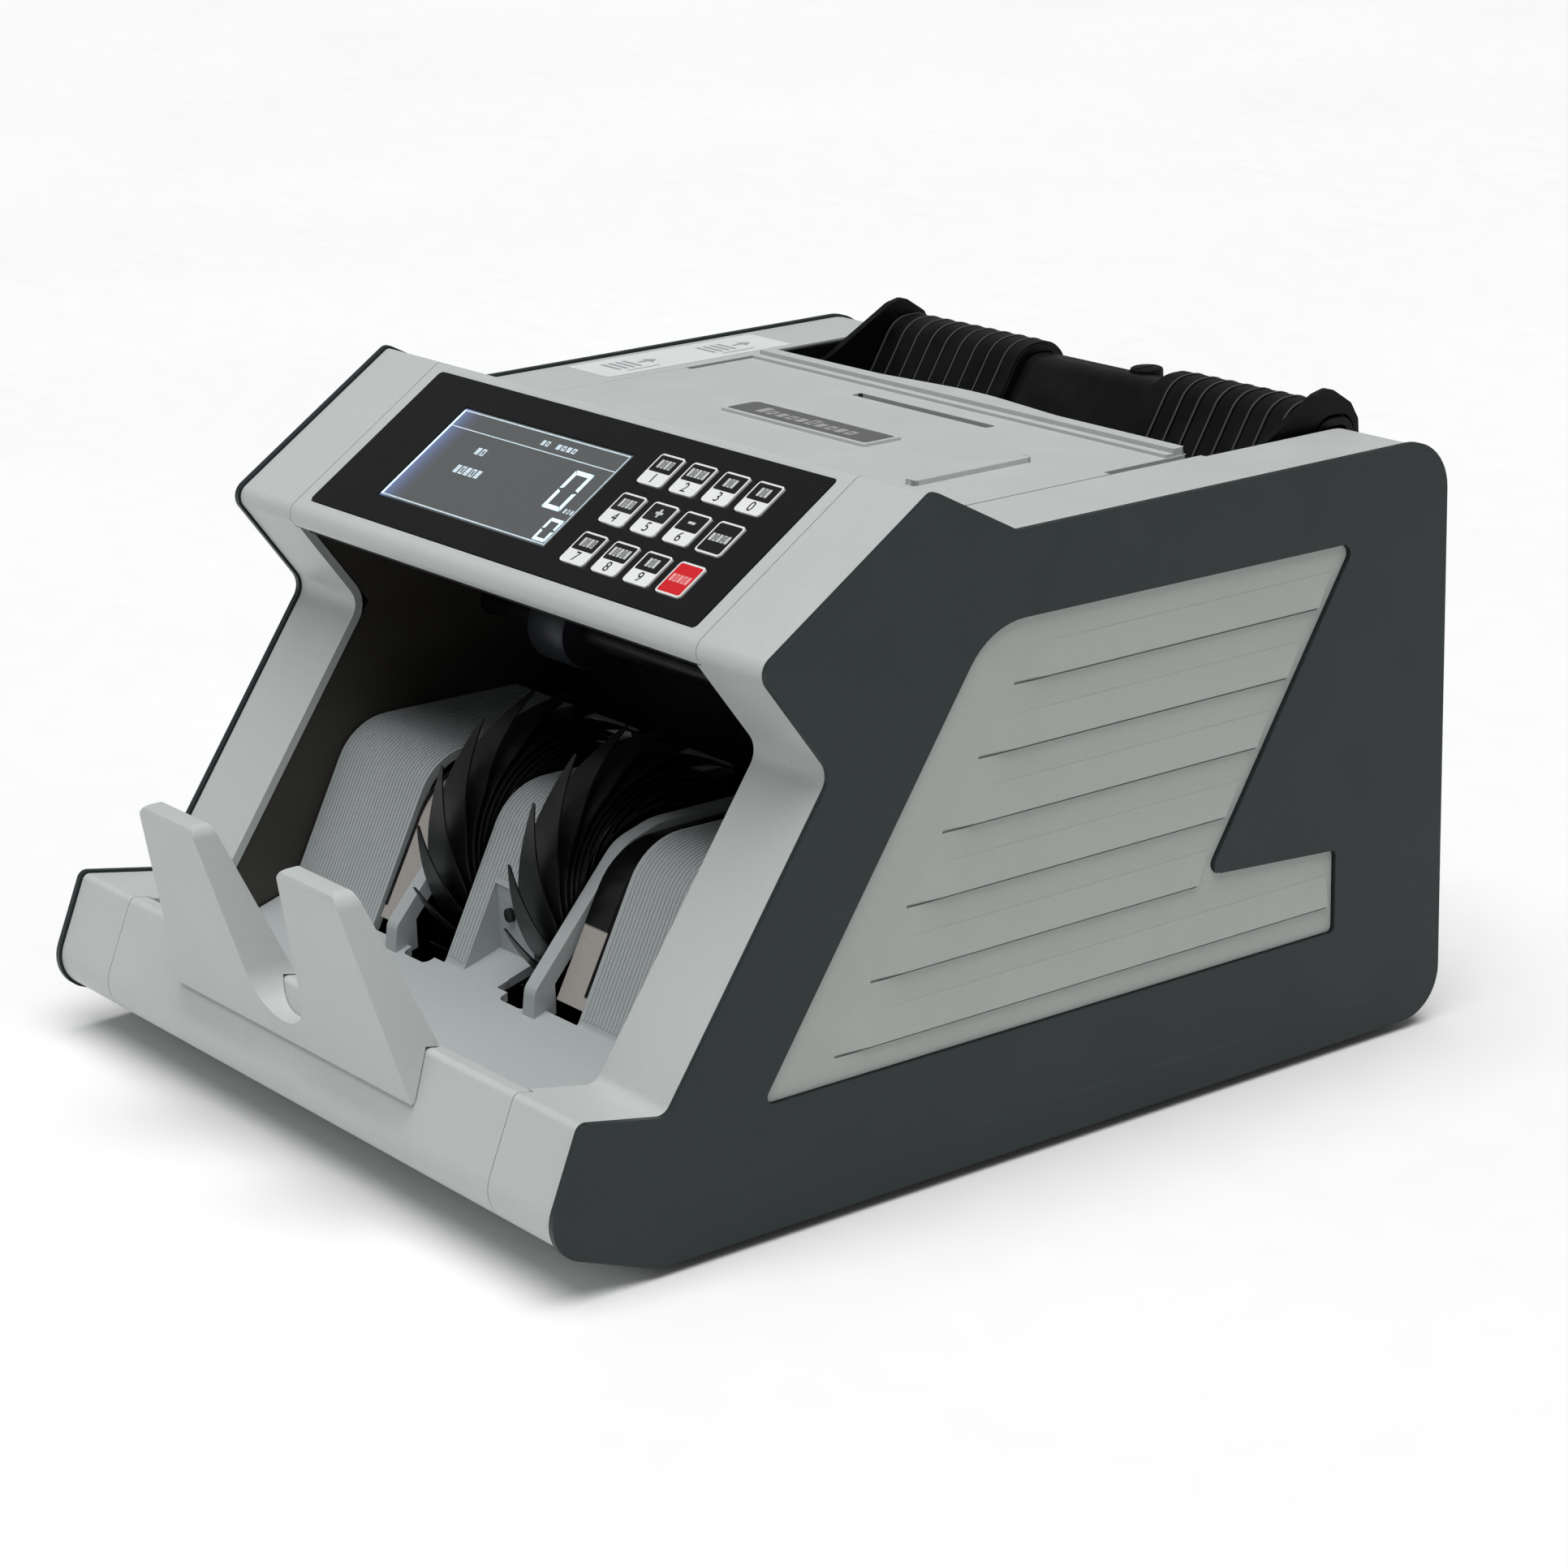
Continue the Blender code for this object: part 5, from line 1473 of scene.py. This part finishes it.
def make_rollers():
    for name, joint_name, radius, lands, grooves, looks, body in (
        ("pickup_roller", "pickup_spin", 17.0, (20.0, 40.0), 9, ("shaft", "rubber"), "pickup_rotor"),
        ("exit_roller", "exit_spin", 11.0, (46.0, 64.0), 1, ("blued", "exit_rubber"), "exit_rotor"),
    ):
        axis = joint(joint_name)
        rod = [(0, 103), (3.6, 103), (4.0, 102.6), (4.0, -102.6), (3.6, -103), (0, -103)]
        parts = [dress(turned_piece("rod", rod, (0, *axis[1:])), looks[0])]
        for side in (-1, 1):
            profile = roller_land(*spread(side, *lands), radius, grooves)
            parts.append(dress(turned_piece("land", profile, (0, *axis[1:]), closed=True), looks[1]))
        piece(join(name + "_turned", parts), body, None, [name], width=0)


def make_upper_guide():
    guide = slab("upper_guide_shell", sheet(CEILING, 2.0), -97.0, 97.0, "X")
    cut(guide, block("note_gap", (-90.0, -10.0, 108.0), (90.0, 12.0, 116.0)))
    # The guide deep in the mouth is dressed dull near-black, partly painted shade.
    piece(guide, "housing", "black_with_painted_shade", ["upper_guide"], width=0.3, segments=2)


def make_inlet():
    inlet = slab("power_inlet_shell", rectangle((-95.0, 30.0), (-67.0, 52.0), 1.5), 132.0, BACK - 0.4, "Y")
    socket = [
        (-11.5, -7.5, 1.0),
        (11.5, -7.5, 1.0),
        (11.5, 3.0, 1.0),
        (6.0, 7.5, 1.0),
        (-6.0, 7.5, 1.0),
        (-11.5, 3.0, 1.0),
    ]
    points = rounded([(-81.0 + u, 41.0 + v, r) for u, v, r in socket])
    cut(inlet, slab("socket", points, 138.0, 170.0, "Y"))
    piece(inlet, "housing", "black", ["power_inlet"], width=0.4, segments=2)
    pins = []
    for x, z in ((-88.0, 39.5), (-74.0, 39.5), (-81.0, 43.5)):
        pins.append(slab("pin", rectangle((x - 1.0, z - 2.0), (x + 1.0, z + 2.0), 0.4), 137.0, 150.0, "Y"))
    piece(join("inlet_pins", pins), "housing", "shaft", width=0.2, segments=2)


def make_switch():
    pivot = joint("power_rocker")
    low, high = (value.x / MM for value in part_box("power_switch"))
    points = [(154.3, pivot[2] - 4.4), (152.7, pivot[2] + 0.3), (152.2, pivot[2] + 6.4)]
    first, last = math.radians(62), math.radians(322)
    for step in range(25):
        angle = first + (last - first) * step / 24
        points.append((pivot[1] + 7.8 * math.cos(angle), pivot[2] + 7.8 * math.sin(angle)))
    rocker = dress(slab("rocker", points, low, high, "X"), "black")
    middle = (low + high) / 2
    line = block("line", (middle - 0.4, 150.0, pivot[2] + 2.2), (middle + 0.4, 153.0, pivot[2] + 5.2))
    cut(rocker, line)
    piece(rocker, "switch_rocker", "black", ["power_switch"], width=0.25, segments=2)


def make_casing():
    for side in (-1, 1):
        make_side_cover(side)
        make_side_inlay(side)
        make_pillar(side)
    make_control_housing()
    make_front_cover()
    make_note_stopper()
    make_note_bed()
    make_slot_strips()
    make_top_cover()
    make_label()
    make_rear_cover()
    make_base()


def make_hopper():
    make_lid()
    make_hopper_tray()
    make_backrest()
    for side in (-1, 1):
        make_guide(side)


def make_drive():
    for side in (-1, 1):
        make_wheel(side)
    make_rollers()
    make_upper_guide()
    make_inlet()
    make_switch()


# CAD nodes that stay as they are, each with a better finish and softer edges
KEPT = {
    "left_frame_plate": ("wall", 0.3),
    "right_frame_plate": ("wall", 0.3),
    "retard_bridge": ("black", 0.6),
    "control_board": ("board", 0.1),
    "main_board": ("board", 0.1),
    "transformer": ("zinc", 0.5),
    "stacker_motor": ("zinc", 0.5),
    "feed_motor": ("zinc", 0.5),
    "stacker_belt": ("rubber", 0.2),
    "feed_belt": ("rubber", 0.2),
    "stacker_shaft": ("shaft", 0.3),
    "feed_shaft": ("shaft", 0.3),
    "feed_drum": ("rubber", 0.3),
    "stacker_pulley": ("black", 0.2),
    "stacker_motor_pulley": ("black", 0.2),
    "feed_motor_pulley": ("black", 0.2),
}


def dress_kept_nodes():
    for name, (look, width) in KEPT.items():
        node = frame["nodes"][name]
        node.data.materials.clear()
        node.data.materials.append(LOOKS[look])
        soften(node, width, 2)


# ---------------------------------------------------------------- stage

def add_sky_light(name, strength, softness, towards):
    """Broad even light from one side, as from a large soft box."""
    lamp = bpy.data.lights.new(name, "SUN")
    lamp.energy = strength
    lamp.angle = math.radians(softness)
    obj = bpy.data.objects.new(name, lamp)
    bpy.context.scene.collection.objects.link(obj)
    obj.location = (0, 0, 1.5)
    obj.rotation_euler = Vector(towards).to_track_quat("-Z", "Y").to_euler()


def make_stage():
    mesh = bpy.data.meshes.new("floor")
    shape = bmesh.new()
    bmesh.ops.create_grid(shape, x_segments=8, y_segments=8, size=12.0)
    shape.to_mesh(mesh)
    shape.free()
    floor = add_object("floor", mesh)
    look = Look("Studio floor")
    look.plug(
        "Base Color",
        look.mix(look.span(look.noise(3.0), 0.3, 0.7), (0.84, 0.84, 0.835), (0.87, 0.87, 0.865)),
    )
    look.plug("Roughness", look.span(look.noise(60.0), 0.3, 0.7, 0.6, 0.75))
    mesh.materials.append(look.material)
    world = bpy.data.worlds.new("Studio")
    bpy.context.scene.world = world
    world.use_nodes = True
    background = world.node_tree.nodes["Background"]
    background.inputs["Color"].default_value = (0.95, 0.97, 1.0, 1.0)
    background.inputs["Strength"].default_value = 0.22
    add_sky_light("overhead_light", 3.1, 56.0, (-0.17, 0.1, -1.0))
    add_sky_light("front_light", 0.12, 40.0, (0.55, 0.8, -0.45))
    bpy.context.scene.view_settings.view_transform = "Standard"


def make_camera():
    camera = bpy.data.objects.new("camera", bpy.data.cameras.new("camera"))
    bpy.context.scene.collection.objects.link(camera)
    azimuth, elevation, roll = (math.radians(angle) for angle in (53.45, 17.59, -1.77))
    back = Vector((
        math.sin(azimuth) * math.cos(elevation),
        -math.cos(azimuth) * math.cos(elevation),
        math.sin(elevation),
    ))
    level = Vector((math.cos(azimuth), math.sin(azimuth), 0))
    up = back.cross(level)
    right = level * math.cos(roll) + up * math.sin(roll)
    upward = -level * math.sin(roll) + up * math.cos(roll)
    placed = Matrix((right, upward, back)).transposed().to_4x4()
    placed.translation = Vector((905.9, -652.0 + SHIFT, 427.2)) * MM
    camera.matrix_world = placed
    camera.data.lens = 94.0
    camera.data.sensor_width = 36.0
    bpy.context.scene.camera = camera


make_casing()
make_panel()
make_hopper()
make_drive()
dress_kept_nodes()
make_stage()
make_camera()
